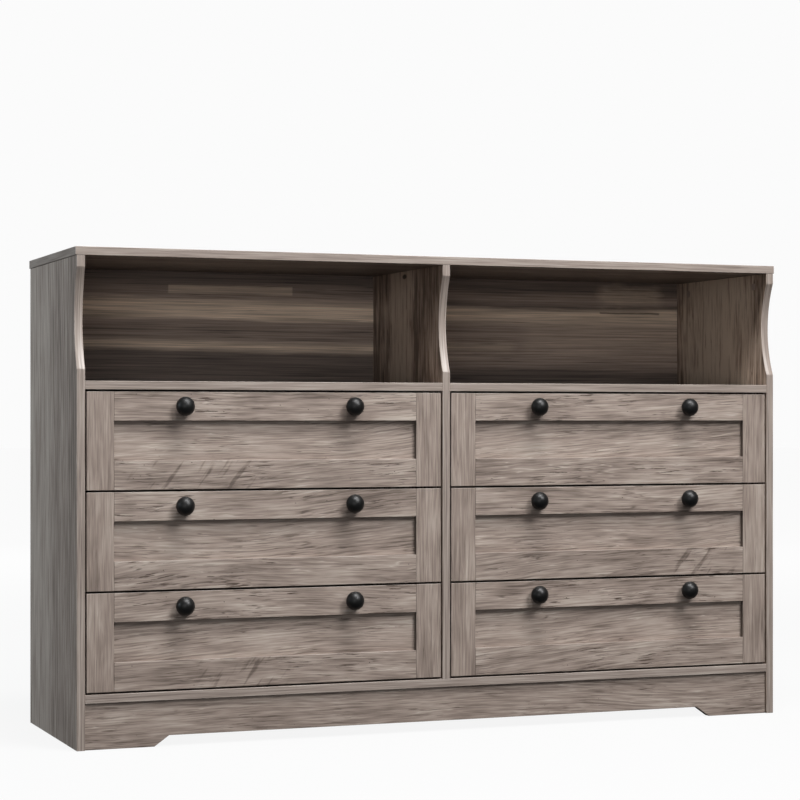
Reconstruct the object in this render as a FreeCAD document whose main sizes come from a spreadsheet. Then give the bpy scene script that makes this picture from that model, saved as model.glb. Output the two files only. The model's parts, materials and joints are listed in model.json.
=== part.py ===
import FreeCAD, Part
import math
import os
import re
import Sketcher

# Dresser with a hutch: six inset shaker drawers in two columns under two open bays.
# X runs to the right, Y to the back and Z up, in millimetres. The origin is on the floor,
# in the middle of the width and halfway between the knobs and the rear edges.

DIMENSIONS = {
    # Case
    "case_width": 1396.0,  # over the outer faces of the side panels
    "case_height": 882.0,  # floor to the top of the top panel
    "case_depth": 392.0,  # front to rear edge of the side panels
    "board": 15.0,  # thickness of every case board
    "top_overhang": 2.0,  # top panel past each side panel
    "hutch_height": 220.0,  # clear height of the open bays
    "arc_flat": 20.0,  # straight edge above and below each arc
    "arc_depth": 20.0,  # how far each arc cuts in behind the front edge
    "kick_height": 82.0,  # floor to the underside of the bottom panel
    "kick_setback": 5.0,  # kick plate behind the front edges
    "cutout_margin": 126.0,  # end of the kick plate to its cut-out, at the floor
    "cutout_slope": 27.0,  # run of the cut-out's slanted ends
    "cutout_height": 19.0,
    "rear_rail_clear": 22.0,  # floor to the rear rail
    "back_sheet": 4.0,  # thickness of the back sheets
    "back_inset": 21.0,  # rear edges to the back sheets
    "groove_web": 3.0,  # board left between the partition's two grooves
    "sheet_play": 0.2,  # clearance round a sheet in its groove or rebate
    "foot_diameter": 40.0,  # both ends of the centre foot
    "foot_waist": 26.0,
    "foot_flange": 6.0,
    "foot_spigot": 10.0,
    "foot_spigot_reach": 7.0,
    # Drawers
    "row_gap": 3.5,  # above and below each drawer front
    "side_gap": 3.0,  # beside each drawer front
    "front_setback": 1.5,  # drawer fronts behind the front edges
    "front_thickness": 15.0,
    "stile_width": 49.0,
    "rail_height": 51.5,
    "recess_depth": 9.0,  # face of the frame to the recessed sheet
    "rebate_width": 8.0,  # how far the recessed sheet laps the frame
    "box_wall": 12.0,
    "box_lift": 18.0,  # lower edge of the front to that of the box
    "box_drop": 37.5,  # upper edge of the front to that of the box
    "box_clear_rear": 15.0,  # box to the back sheet
    "box_sheet": 4.0,  # thickness of the box bottom
    "box_sheet_lift": 10.0,  # lower edge of the box to its bottom
    "box_groove": 5.0,
    # Runners
    "runner_space": 12.5,  # box to the board beside it
    "runner_start": 3.0,  # drawer front to the runners
    "runner_margin": 32.5,  # rear of the runners to that of the box
    "runner_height": 36.0,
    "runner_flange": 9.0,
    "runner_steel": 1.2,
    "running_clearance": 0.3,
    "slide_gap": 1.3,  # drawer member to the web of the case member
    "runner_hole_inset": 40.0,  # runner ends to the screws
    # Knobs
    "knob_diameter": 34.4,
    "knob_reach": 29.5,  # drawer front to the top of the dome
    "knob_rim_reach": 15.0,  # drawer front to the widest circle
    "knob_neck": 12.0,
    "knob_neck_reach": 3.5,
    "knob_base": 15.0,
    "knob_base_reach": 1.2,
    "knob_spacing": 320.0,
    "knob_screw": 4.0,
    "knob_grip": 9.0,  # screw inside the knob
    # Fasteners
    "fit_play": 0.05,  # round a fastener in its hole
    "cam_diameter": 15.0,
    "cam_floor": 2.5,  # board left behind a cam
    "cam_setback": 24.0,  # edge of the board to the cam's axis
    "bolt_thread": 5.0,
    "bolt_stem": 5.6,
    "bolt_head": 7.0,
    "bolt_head_length": 3.0,
    "bolt_floor": 4.0,  # board left past a bolt or a dowel
    "dowel_diameter": 8.0,
    "dowel_in_edge": 20.0,
    "joint_inset": 50.0,  # front and rear of a joint to its cams
    "joint_step": 16.0,  # between neighbouring holes of a joint
    "screw_shank": 3.2,
    "screw_head": 6.6,
    "screw_head_height": 1.8,
    "screw_core": 3.0,  # partition left between facing screws
    "screw_floor": 4.0,  # box wall left past a runner screw
    "box_screw_grip": 20.0,
    "box_joint_inset": 16.0,  # box bottom and upper edge to the fasteners of a box wall
    "back_screw_grip": 14.0,
    "back_screw_inset": 90.0,  # sides of a bay to the outer back screws
}
ROWS = ("bottom", "middle", "top")
COLUMNS = ("left", "right")

# Places and sizes that follow from the dimensions, as formulas.
FRONT = "((knob_reach - front_setback - case_depth) / 2)"
REAR = f"({FRONT} + case_depth)"
SHEET_FACE = f"({REAR} - back_inset - back_sheet)"
SHEET_REAR = f"({REAR} - back_inset)"
INNER_DEPTH = "(case_depth - back_inset - back_sheet)"
INNER_WIDTH = "(case_width - 2 * board)"
SIDE_HEIGHT = "(case_height - board)"
FLOOR_TOP = "(kick_height + board)"
DECK_UNDER = "(case_height - 2 * board - hutch_height)"
GROOVE = "((board - groove_web) / 2)"
BAY_WIDTH = "((case_width - 3 * board) / 2)"
BAY_START = {"left": "(board - case_width / 2)", "right": "(board / 2)"}
BAY_END = {"left": "(-board / 2)", "right": "(case_width / 2 - board)"}
FRONT_WIDTH = f"({BAY_WIDTH} - 2 * side_gap)"
FRONT_HEIGHT = f"(({DECK_UNDER} - {FLOOR_TOP} - {len(ROWS) + 1} * row_gap) / {len(ROWS)})"
FRONT_FACE = f"({FRONT} + front_setback)"
FRONT_BACK = f"({FRONT_FACE} + front_thickness)"
BOX_WIDTH = f"({BAY_WIDTH} - 2 * runner_space)"
BOX_HEIGHT = f"({FRONT_HEIGHT} - box_lift - box_drop)"
BOX_DEPTH = f"({SHEET_FACE} - box_clear_rear - {FRONT_BACK})"
RUNNER_FRONT = f"({FRONT_BACK} + runner_start)"
RUNNER_LENGTH = f"({BOX_DEPTH} - runner_start - runner_margin)"
SLIDE_HEIGHT = "(runner_height - 2 * runner_steel - 2 * running_clearance)"
SLIDE_DEPTH = "(runner_space - runner_steel - slide_gap)"
JOINT_FRONT = f"({FRONT} + joint_inset)"
JOINT_REAR = f"({SHEET_FACE} - joint_inset)"
BOLT_DEPTH = "(board - bolt_floor)"
PANEL_SCREW_GRIP = "((board - screw_core) / 2)"
ARC_RADIUS = "(((hutch_height - 2 * arc_flat)^2 / 4 + arc_depth^2) / (2 * arc_depth))"
DOME_RISE = "(knob_reach - knob_rim_reach)"
DOME_RADIUS = f"((knob_diameter^2 / 4 + {DOME_RISE}^2) / (2 * {DOME_RISE}))"
FLARE_RUN = "(knob_rim_reach - knob_neck_reach)"
FLARE_STEP = "((knob_diameter - knob_neck) / 2)"
FLARE_RADIUS = f"(({FLARE_STEP}^2 + {FLARE_RUN}^2) / (2 * {FLARE_STEP}))"

DIRECTIONS = {
    "+X": (1, 0, 0),
    "-X": (-1, 0, 0),
    "+Y": (0, 1, 0),
    "-Y": (0, -1, 0),
    "+Z": (0, 0, 1),
    "-Z": (0, 0, -1),
}

doc = FreeCAD.newDocument("DresserWithHutch")
sheet = doc.addObject("Spreadsheet::Sheet", "Dims")
for row, (alias, value) in enumerate(DIMENSIONS.items(), start=1):
    sheet.set(f"A{row}", alias)
    sheet.set(f"B{row}", str(value))
    sheet.setAlias(f"B{row}", alias)
doc.recompute()

nodes = []
cutters = {}
groups = {}


# Formulas and places

def formula(text):
    """Puts the sheet's name before each dimension that a formula names."""
    return re.sub(r"[a-z][a-z_]*", lambda word: f"Dims.{word.group()}", text)


def number(text):
    """Works a formula out."""
    return float(sheet.evalExpression(formula(text)))


def opposite(direction):
    return ("-" if direction[0] == "+" else "+") + direction[1]


def moved(point, direction, distance):
    """Moves a point, given as three formulas, along an axis."""
    shifted = list(point)
    axis = "XYZ".index(direction[1])
    shifted[axis] = f"({point[axis]} {direction[0]} ({distance}))"
    return tuple(shifted)


def place(item, point, direction="+Z"):
    """Binds an item's place and turns its own Z towards a direction."""
    turn = FreeCAD.Rotation(FreeCAD.Vector(0, 0, 1), FreeCAD.Vector(*DIRECTIONS[direction]))
    item.Placement = FreeCAD.Placement(FreeCAD.Vector(), turn)
    for axis, text in zip("xyz", point):
        item.setExpression(f"Placement.Base.{axis}", formula(text))


# Solids

def block(name, corner, size):
    item = doc.addObject("Part::Box", name)
    for side, text in zip(("Length", "Width", "Height"), size):
        item.setExpression(side, formula(text))
    place(item, corner)
    return item


def rod(name, start, direction, diameter, length):
    item = doc.addObject("Part::Cylinder", name)
    item.setExpression("Radius", formula(f"({diameter}) / 2"))
    item.setExpression("Height", formula(length))
    place(item, start, direction)
    return item


def fused(name, items):
    item = doc.addObject("Part::MultiFuse", name)
    item.Shapes = items
    return item


def cut(name, base, tools):
    item = doc.addObject("Part::Cut", name)
    item.Base = base
    item.Tool = tools[0] if len(tools) == 1 else fused(f"{name}_cuts", tools)
    return item


def fix_point(sketch, edge, end, place_in_sketch):
    """Ties one end of a sketch edge to two formulas."""
    for kind, axis, text in zip(("DistanceX", "DistanceY"), (-2, -1), place_in_sketch):
        if text == "0":
            sketch.addConstraint(Sketcher.Constraint("PointOnObject", edge, end, axis))
        else:
            index = sketch.addConstraint(Sketcher.Constraint(kind, -1, 1, edge, end, number(text)))
            sketch.setExpression(f"Constraints[{index}]", formula(text))


def outline(body, plane, points, arcs=None):
    """Draws a closed outline on an origin plane of a body.

    arcs maps the index of a point to the radius of the arc that runs from it to the next point,
    bulging to the right of that way.
    """
    arcs = arcs or {}
    sketch = body.newObject("Sketcher::SketchObject", f"{body.Name}_outline")
    support = next(item for item in body.Origin.OriginFeatures if item.Role == plane)
    sketch.AttachmentSupport = (support, [""])
    sketch.MapMode = "FlatFace"
    ends = [FreeCAD.Vector(number(u), number(v), 0) for u, v in points]
    for index, start in enumerate(ends):
        stop = ends[(index + 1) % len(ends)]
        if index in arcs:
            run = stop - start
            radius = number(arcs[index])
            bulge = radius - math.sqrt(radius**2 - (run.Length / 2) ** 2)
            middle = (start + stop) * 0.5 + FreeCAD.Vector(run.y, -run.x, 0).normalize() * bulge
            sketch.addGeometry(Part.Arc(start, middle, stop))
        else:
            sketch.addGeometry(Part.LineSegment(start, stop))
    for index, point in enumerate(points):
        following = (index + 1) % len(points)
        sketch.addConstraint(Sketcher.Constraint("Coincident", index, 2, following, 1))
        fix_point(sketch, index, 1, point)
    for index, radius in arcs.items():
        mark = sketch.addConstraint(Sketcher.Constraint("Radius", index, number(radius)))
        sketch.setExpression(f"Constraints[{mark}]", formula(radius))
    return sketch


def padded(name, plane, points, length, corner, arcs=None, reverse=False):
    """Makes a body by padding an outline."""
    body = doc.addObject("PartDesign::Body", name)
    pad = body.newObject("PartDesign::Pad", f"{name}_pad")
    pad.Profile = outline(body, plane, points, arcs)
    pad.Reversed = reverse
    pad.setExpression("Length", formula(length))
    body.Tip = pad
    place(body, corner)
    return body


def turned(name, points, start, direction, arcs=None):
    """Makes a body by turning an outline about its own Z, which then points along a direction."""
    body = doc.addObject("PartDesign::Body", name)
    turning = body.newObject("PartDesign::Revolution", f"{name}_turning")
    sketch = outline(body, "XZ_Plane", points, arcs)
    turning.Profile = sketch
    turning.ReferenceAxis = (sketch, ["V_Axis"])
    body.Tip = turning
    place(body, start, direction)
    return body


# Nodes

def finish(item, label):
    """Makes an item a node of the object."""
    item.Label = label
    nodes.append(item)


def board_cuts(label, *tools):
    cutters.setdefault(label, []).extend(tools)


def finish_board(label, base):
    """Makes a board with everything that was cut from it a node."""
    finish(cut(f"{label}_board", base, cutters[label]), label)


def add_to_group(label, item):
    groups.setdefault(label, []).append(item)


def finish_group(label):
    item = doc.addObject("Part::Compound", f"{label}_group")
    item.Links = groups[label]
    finish(item, label)


# Fasteners

def cam_joint(name, edge, into, mouth, boards, groups_of, thickness=("board", "board")):
    """Joins two boards with a cam in the first and a bolt in the second.

    edge is a point where they meet, in the middle of the first board's thickness, into leads
    into the second board, and mouth leads to the face that the cam is put in from.
    """
    cam_board, bolt_board = boards
    cam_group, bolt_group = groups_of
    back = opposite(into)
    axis_point = moved(edge, back, "cam_setback")
    cam_top = moved(axis_point, mouth, f"{thickness[0]} / 2")
    cam_length = f"({thickness[0]} - cam_floor)"
    bolt_depth = f"({thickness[1]} - bolt_floor)"
    pocket = rod(f"{name}_pocket", cam_top, opposite(mouth), "cam_diameter", cam_length)
    channel = rod(f"{name}_channel", edge, back, "bolt_head + 2 * fit_play", "cam_setback")
    hole = rod(f"{name}_hole", edge, into, "bolt_thread + 2 * fit_play", bolt_depth)
    board_cuts(cam_board, pocket, channel)
    board_cuts(bolt_board, hole)
    blank = rod(f"{name}_blank", cam_top, opposite(mouth), "cam_diameter - 2 * fit_play", cam_length)
    add_to_group(cam_group, cut(f"{name}_cam", blank, [channel]))
    stem_length = "(cam_setback - bolt_head_length)"
    bolt = fused(f"{name}_bolt", [
        rod(f"{name}_thread", edge, into, "bolt_thread", bolt_depth),
        rod(f"{name}_stem", edge, back, "bolt_stem", stem_length),
        rod(f"{name}_head", moved(edge, back, stem_length), back, "bolt_head", "bolt_head_length"),
    ])
    add_to_group(bolt_group, bolt)


def dowel_joint(name, edge, into, boards):
    """Joins two boards with a dowel, of which the longer part is in the first board's edge."""
    length = f"(dowel_in_edge + {BOLT_DEPTH})"
    start = moved(edge, opposite(into), "dowel_in_edge")
    hole = rod(f"{name}_hole", start, into, "dowel_diameter + 2 * fit_play", length)
    for board in boards:
        board_cuts(board, hole)
    add_to_group("dowels", rod(f"{name}_dowel", start, into, "dowel_diameter", length))


def screw(name, seat, direction, length, boards, group, shank="screw_shank"):
    """Drives a screw whose head sits on a face through the boards behind it."""
    hole = rod(f"{name}_hole", seat, direction, f"{shank} + 2 * fit_play", length)
    for board in boards:
        board_cuts(board, hole)
    body = fused(f"{name}_screw", [
        rod(f"{name}_shank", seat, direction, shank, length),
        rod(f"{name}_cap", seat, opposite(direction), "screw_head", "screw_head_height"),
    ])
    add_to_group(group, body)


# Case boards

def arched_outline(lower_end, upper_end):
    """Gives the side view of an upright board whose front edge is cut in by an arc beside the bays."""
    arc_start = f"({DECK_UNDER} + board + arc_flat - {lower_end})"
    arc_stop = f"({upper_end} - arc_flat - {lower_end})"
    height = f"({upper_end} - {lower_end})"
    points = [
        ("0", "0"),
        ("0", arc_start),
        ("0", arc_stop),
        ("0", height),
        ("case_depth", height),
        ("case_depth", "0"),
    ]
    return points, {1: ARC_RADIUS}


def upright(name, start_x, lower_end):
    points, arcs = arched_outline(lower_end, SIDE_HEIGHT)
    return padded(name, "YZ_Plane", points, "board", (start_x, FRONT, lower_end), arcs)


def back_groove(name, start_x, lower_end, height):
    """Gives the groove that a back sheet's edge slides in."""
    corner = (start_x, f"({SHEET_FACE} - sheet_play)", lower_end)
    return block(name, corner, (GROOVE, "back_sheet + 2 * sheet_play", height))


def make_uprights():
    left_x = "(-case_width / 2)"
    right_x = "(case_width / 2 - board)"
    partition_height = f"({SIDE_HEIGHT} - {FLOOR_TOP})"
    left_groove_x = f"({left_x} + board - {GROOVE})"
    board_cuts("left_side_panel", back_groove("left_groove", left_groove_x, "0", SIDE_HEIGHT))
    board_cuts("right_side_panel", back_groove("right_groove", right_x, "0", SIDE_HEIGHT))
    board_cuts(
        "centre_partition",
        back_groove("partition_left_groove", "(-board / 2)", FLOOR_TOP, partition_height),
        back_groove("partition_right_groove", f"(board / 2 - {GROOVE})", FLOOR_TOP, partition_height),
    )
    finish_board("left_side_panel", upright("left_side", left_x, "0"))
    finish_board("right_side_panel", upright("right_side", right_x, "0"))
    finish_board("centre_partition", upright("partition", "(-board / 2)", FLOOR_TOP))


def make_level_boards():
    top_start = "(-case_width / 2 - top_overhang)"
    top_length = "(case_width + 2 * top_overhang)"
    top_corner = (top_start, FRONT, SIDE_HEIGHT)
    groove_corner = (f"({BAY_START['left']} - {GROOVE})", f"({SHEET_FACE} - sheet_play)", SIDE_HEIGHT)
    groove_size = (f"({INNER_WIDTH} + 2 * {GROOVE})", "back_sheet + 2 * sheet_play", GROOVE)
    board_cuts("top_panel", block("top_groove", groove_corner, groove_size))
    finish_board("top_panel", block("top", top_corner, (top_length, "case_depth", "board")))
    for column in COLUMNS:
        corner = (BAY_START[column], FRONT, DECK_UNDER)
        deck = block(f"{column}_deck", corner, (BAY_WIDTH, INNER_DEPTH, "board"))
        finish_board(f"{column}_hutch_deck", deck)
    bottom_corner = (BAY_START["left"], FRONT, "kick_height")
    finish_board("bottom_panel", block("bottom", bottom_corner, (INNER_WIDTH, INNER_DEPTH, "board")))


def make_rails():
    far_margin = f"({INNER_WIDTH} - cutout_margin)"
    points = [
        ("0", "0"),
        ("cutout_margin", "0"),
        ("cutout_margin + cutout_slope", "cutout_height"),
        (f"{far_margin} - cutout_slope", "cutout_height"),
        (far_margin, "0"),
        (INNER_WIDTH, "0"),
        (INNER_WIDTH, "kick_height"),
        ("0", "kick_height"),
    ]
    corner = (BAY_START["left"], f"({FRONT} + kick_setback)", "0")
    finish_board("kick_plate", padded("kick", "XZ_Plane", points, "board", corner, reverse=True))
    rail_corner = (BAY_START["left"], f"({SHEET_FACE} - board)", "rear_rail_clear")
    rail_size = (INNER_WIDTH, "board", "kick_height - rear_rail_clear")
    finish_board("rear_rail", block("rail", rail_corner, rail_size))


def make_back_sheets():
    height = f"({SIDE_HEIGHT} + {GROOVE} - sheet_play - kick_height)"
    width = f"({BAY_WIDTH} + 2 * {GROOVE} - 2 * sheet_play)"
    for column in COLUMNS:
        corner = (f"({BAY_START[column]} - {GROOVE} + sheet_play)", SHEET_FACE, "kick_height")
        back = block(f"{column}_back", corner, (width, "back_sheet", height))
        finish_board(f"{column}_back_sheet", back)


def make_centre_foot():
    middle = ("0", f"(({FRONT} + {SHEET_FACE}) / 2)", "0")
    points = [
        ("0", "0"),
        ("foot_diameter / 2", "0"),
        ("foot_diameter / 2", "foot_flange"),
        ("foot_waist / 2", "2 * foot_flange"),
        ("foot_waist / 2", "kick_height - 2 * foot_flange"),
        ("foot_diameter / 2", "kick_height - foot_flange"),
        ("foot_diameter / 2", "kick_height"),
        ("foot_spigot / 2", "kick_height"),
        ("foot_spigot / 2", "kick_height + foot_spigot_reach"),
        ("0", "kick_height + foot_spigot_reach"),
    ]
    finish(turned("foot", points, middle, "+Z"), "centre_foot")
    socket_start = (middle[0], middle[1], "kick_height")
    socket = rod("foot_socket", socket_start, "+Z", "foot_spigot + 2 * fit_play", "foot_spigot_reach")
    board_cuts("bottom_panel", socket)


# Case joints

def join_case():
    cams = ("cam_locks", "cam_bolts")
    uprights = {
        "left_side_panel": ("(board / 2 - case_width / 2)", "+X"),
        "centre_partition": ("0", "+X"),
        "right_side_panel": ("(case_width / 2 - board / 2)", "-X"),
    }
    for label, (middle_x, mouth) in uprights.items():
        for end, y, step in (("front", JOINT_FRONT, "+Y"), ("rear", JOINT_REAR, "-Y")):
            edge = (middle_x, y, SIDE_HEIGHT)
            beside = moved(edge, step, "2 * joint_step")
            cam_joint(f"{label}_top_{end}", edge, "+Z", mouth, (label, "top_panel"), cams)
            dowel_joint(f"{label}_top_{end}", beside, "+Z", (label, "top_panel"))
    for end, y, step in (("front", JOINT_FRONT, "+Y"), ("rear", JOINT_REAR, "-Y")):
        edge = ("0", y, FLOOR_TOP)
        beside = moved(edge, step, "2 * joint_step")
        pair = ("centre_partition", "bottom_panel")
        cam_joint(f"partition_foot_{end}", edge, "-Z", "+X", pair, cams)
        dowel_joint(f"partition_foot_{end}", beside, "-Z", pair)
    deck_middle = f"({DECK_UNDER} + board / 2)"
    bottom_middle = "(kick_height + board / 2)"
    level_joints = (
        ("left_hutch_deck", "left_side_panel", "-X", BAY_START["left"], deck_middle, "0"),
        ("left_hutch_deck", "centre_partition", "+X", BAY_END["left"], deck_middle, "0"),
        ("right_hutch_deck", "centre_partition", "-X", BAY_START["right"], deck_middle, "joint_step"),
        ("right_hutch_deck", "right_side_panel", "+X", BAY_END["right"], deck_middle, "joint_step"),
        ("bottom_panel", "left_side_panel", "-X", BAY_START["left"], bottom_middle, "0"),
        ("bottom_panel", "right_side_panel", "+X", BAY_END["right"], bottom_middle, "0"),
    )
    for board, upright_label, into, x, z, shift in level_joints:
        for end, y, step in (("front", JOINT_FRONT, "+Y"), ("rear", JOINT_REAR, "-Y")):
            edge = moved((x, y, z), step, shift)
            beside = moved(edge, step, "2 * joint_step")
            name = f"{board}_{upright_label}_{end}"
            cam_joint(name, edge, into, "-Z", (board, upright_label), cams)
            dowel_joint(name, beside, into, (board, upright_label))
    rails = {
        "kick_plate": (f"({FRONT} + kick_setback + board / 2)", "+Y"),
        "rear_rail": (f"({SHEET_FACE} - board / 2)", "-Y"),
    }
    rail_middle = "((rear_rail_clear + kick_height) / 2)"
    for label, (y, mouth) in rails.items():
        for side, x, into in (
            ("left_side_panel", BAY_START["left"], "-X"),
            ("right_side_panel", BAY_END["right"], "+X"),
        ):
            cam_joint(f"{label}_{side}", (x, y, rail_middle), into, mouth, (label, side), cams)
            dowel_joint(f"{label}_{side}", (x, y, f"({rail_middle} + joint_step)"), into, (label, side))
        for column in COLUMNS:
            dowel_x = f"({BAY_START[column]} + {BAY_WIDTH} / 2 + 2 * joint_step)"
            dowel_joint(f"{label}_{column}", (dowel_x, y, "kick_height"), "+Z", (label, "bottom_panel"))


def screw_back_sheets():
    length = "(back_sheet + back_screw_grip)"
    for column in COLUMNS:
        places = (
            f"({BAY_START[column]} + back_screw_inset)",
            f"({BAY_START[column]} + {BAY_WIDTH} / 2)",
            f"({BAY_END[column]} - back_screw_inset)",
        )
        levels = {
            f"{column}_hutch_deck": f"({DECK_UNDER} + board / 2)",
            "bottom_panel": "(kick_height + board / 2)",
        }
        for board, z in levels.items():
            for count, x in enumerate(places):
                boards = (f"{column}_back_sheet", board)
                name = f"{column}_{board}_back_{count}"
                screw(name, (x, SHEET_REAR, z), "-Y", length, boards, "back_screws")


# Drawers and their runners

def channel_outline(depth, height, sign):
    """Gives the section of a steel channel that opens to the right or, with a minus sign, to the left."""
    upper_inside = f"{height} - runner_steel"
    across = [depth, depth, "runner_steel", "runner_steel", depth, depth]
    up = ["0", "runner_steel", "runner_steel", upper_inside, upper_inside, height]
    points = [("0", "0")] + [(f"{sign}({u})", v) for u, v in zip(across, up)] + [("0", height)]
    return points


def make_runners(name, column, box_floor):
    """Makes one drawer's two runners, each a case member and a drawer member that slides in it."""
    sides = (
        ("left", BAY_START[column], "+X", {"left": "left_side_panel", "right": "centre_partition"}[column]),
        ("right", BAY_END[column], "-X", {"left": "centre_partition", "right": "right_side_panel"}[column]),
    )
    lower = f"({box_floor} + ({BOX_HEIGHT} - runner_height) / 2)"
    middle = f"({lower} + runner_height / 2)"
    slide_lower = f"({lower} + runner_steel + running_clearance)"
    holes_y = (
        f"({RUNNER_FRONT} + runner_hole_inset)",
        f"({RUNNER_FRONT} + {RUNNER_LENGTH} - runner_hole_inset)",
    )
    for side, face_x, inward, panel in sides:
        outward = opposite(inward)
        sign = inward[0]
        case_part = f"{name}_{side}_case_member"
        drawer_part = f"{name}_{side}_drawer_member"
        box_face = moved((face_x, RUNNER_FRONT, slide_lower), inward, "runner_space")
        for count, y in enumerate(holes_y):
            case_seat = moved((face_x, y, middle), inward, "runner_steel")
            case_length = f"(runner_steel + {PANEL_SCREW_GRIP})"
            screw(f"{case_part}_{count}", case_seat, outward, case_length,
                  (case_part, panel), "runner_screws")
            box_seat = moved((box_face[0], y, middle), outward, "runner_steel")
            box_length = "(runner_steel + box_wall - screw_floor)"
            screw(f"{drawer_part}_{count}", box_seat, inward, box_length,
                  (drawer_part, f"{name}_{side}_wall"), f"{name}_fixings")
        case_points = channel_outline("runner_flange", "runner_height", sign)
        case_channel = padded(f"{case_part}_channel", "XZ_Plane", case_points, RUNNER_LENGTH,
                              (face_x, RUNNER_FRONT, lower), reverse=True)
        slide_points = channel_outline(SLIDE_DEPTH, SLIDE_HEIGHT, outward[0])
        slide_channel = padded(f"{drawer_part}_channel", "XZ_Plane", slide_points, RUNNER_LENGTH,
                               box_face, reverse=True)
        add_to_group("cabinet_runners", cut(case_part, case_channel, cutters[case_part]))
        add_to_group(f"{name}_runners", cut(drawer_part, slide_channel, cutters[drawer_part]))


def make_box(name, column, box_floor):
    """Makes one drawer's box: two grooved walls, a rear wall and a bottom sheet."""
    left_x = f"({BAY_START[column]} + runner_space)"
    right_x = f"({left_x} + {BOX_WIDTH} - box_wall)"
    walls = (
        ("left", left_x, "-X", f"({left_x} + box_wall - box_groove)"),
        ("right", right_x, "+X", right_x),
    )
    sheet_lower = f"({box_floor} + box_sheet_lift)"
    sheet_top = f"({sheet_lower} + box_sheet)"
    rear_y = f"({FRONT_BACK} + {BOX_DEPTH} - box_wall)"
    levels = (
        f"({sheet_top} + box_joint_inset)",
        f"({box_floor} + {BOX_HEIGHT} - box_joint_inset)",
    )
    fixings = f"{name}_fixings"
    for side, x, outward, groove_x in walls:
        wall = f"{name}_{side}_wall"
        groove_corner = (groove_x, FRONT_BACK, f"({sheet_lower} - sheet_play)")
        groove_size = ("box_groove", BOX_DEPTH, "box_sheet + 2 * sheet_play")
        board_cuts(wall, block(f"{wall}_groove", groove_corner, groove_size))
        middle_x = f"({x} + box_wall / 2)"
        for count, z in enumerate(levels):
            seat = moved((middle_x, f"({rear_y} + box_wall / 2)", z), outward, "box_wall / 2")
            screw(f"{wall}_rear_{count}", seat, opposite(outward), "(box_wall + box_screw_grip)",
                  (wall, f"{name}_rear_wall"), fixings)
        for count, z in enumerate(levels):
            cam_joint(f"{wall}_front_{count}", (middle_x, FRONT_BACK, z), "-Y", outward,
                      (wall, f"{name}_{side}_stile"), (fixings, fixings), ("box_wall", "front_thickness"))
        base = block(f"{wall}_blank", (x, FRONT_BACK, box_floor), ("box_wall", BOX_DEPTH, BOX_HEIGHT))
        add_to_group(f"{name}_box_walls", cut(wall, base, cutters[wall]))
    rear_height = f"({BOX_HEIGHT} - box_sheet_lift - box_sheet)"
    rear_size = (f"({BOX_WIDTH} - 2 * box_wall)", "box_wall", rear_height)
    rear = block(f"{name}_rear_blank", (f"({left_x} + box_wall)", rear_y, sheet_top), rear_size)
    add_to_group(f"{name}_box_walls", cut(f"{name}_rear_wall", rear, cutters[f"{name}_rear_wall"]))
    bottom_corner = (f"({left_x} + box_wall - box_groove + sheet_play)", FRONT_BACK, sheet_lower)
    bottom_width = f"({BOX_WIDTH} - 2 * box_wall + 2 * box_groove - 2 * sheet_play)"
    bottom = block(f"{name}_bottom", bottom_corner, (bottom_width, BOX_DEPTH, "box_sheet"))
    finish(bottom, f"{name}_box_bottom")


def make_front(name, column, lower):
    """Makes one drawer's shaker front: two stiles, two rails and the sheet that lies in their rebate."""
    start_x = f"({BAY_START[column]} + side_gap)"
    rail_x = f"({start_x} + stile_width)"
    rail_length = f"({FRONT_WIDTH} - 2 * stile_width)"
    upper_rail = f"({lower} + {FRONT_HEIGHT} - rail_height)"
    rebate_y = f"({FRONT_FACE} + recess_depth)"
    sheet_thickness = "(front_thickness - recess_depth)"
    rebate_corner = (f"({rail_x} - rebate_width)", rebate_y, f"({lower} + rail_height - rebate_width)")
    rebate_length = f"({rail_length} + 2 * rebate_width)"
    rebate_height = f"({FRONT_HEIGHT} - 2 * rail_height + 2 * rebate_width)"
    rebate = block(f"{name}_rebate", rebate_corner, (rebate_length, sheet_thickness, rebate_height))
    stile_size = ("stile_width", "front_thickness", FRONT_HEIGHT)
    rail_size = (rail_length, "front_thickness", "rail_height")
    pieces = {
        f"{name}_left_stile": ((start_x, FRONT_FACE, lower), stile_size),
        f"{name}_right_stile": ((f"({rail_x} + {rail_length})", FRONT_FACE, lower), stile_size),
        f"{name}_lower_rail": ((rail_x, FRONT_FACE, lower), rail_size),
        f"{name}_upper_rail": ((rail_x, FRONT_FACE, upper_rail), rail_size),
    }
    middle_x = f"({start_x} + {FRONT_WIDTH} / 2)"
    knob_z = f"({upper_rail} + rail_height / 2)"
    for side, sign in (("left", "-"), ("right", "+")):
        knob_x = f"({middle_x} {sign} knob_spacing / 2)"
        make_knob(f"{name}_{side}", name, (knob_x, FRONT_FACE, knob_z))
    for piece, (corner, size) in pieces.items():
        board_cuts(piece, rebate)
        blank = block(f"{piece}_blank", corner, size)
        add_to_group(f"{name}_front_frame", cut(piece, blank, cutters[piece]))
    sheet_corner = tuple(f"({text} + sheet_play)" if axis != 1 else text
                         for axis, text in enumerate(rebate_corner))
    sheet_size = (
        f"({rebate_length} - 2 * sheet_play)",
        sheet_thickness,
        f"({rebate_height} - 2 * sheet_play)",
    )
    finish(block(f"{name}_sheet", sheet_corner, sheet_size), f"{name}_front_sheet")


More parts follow.
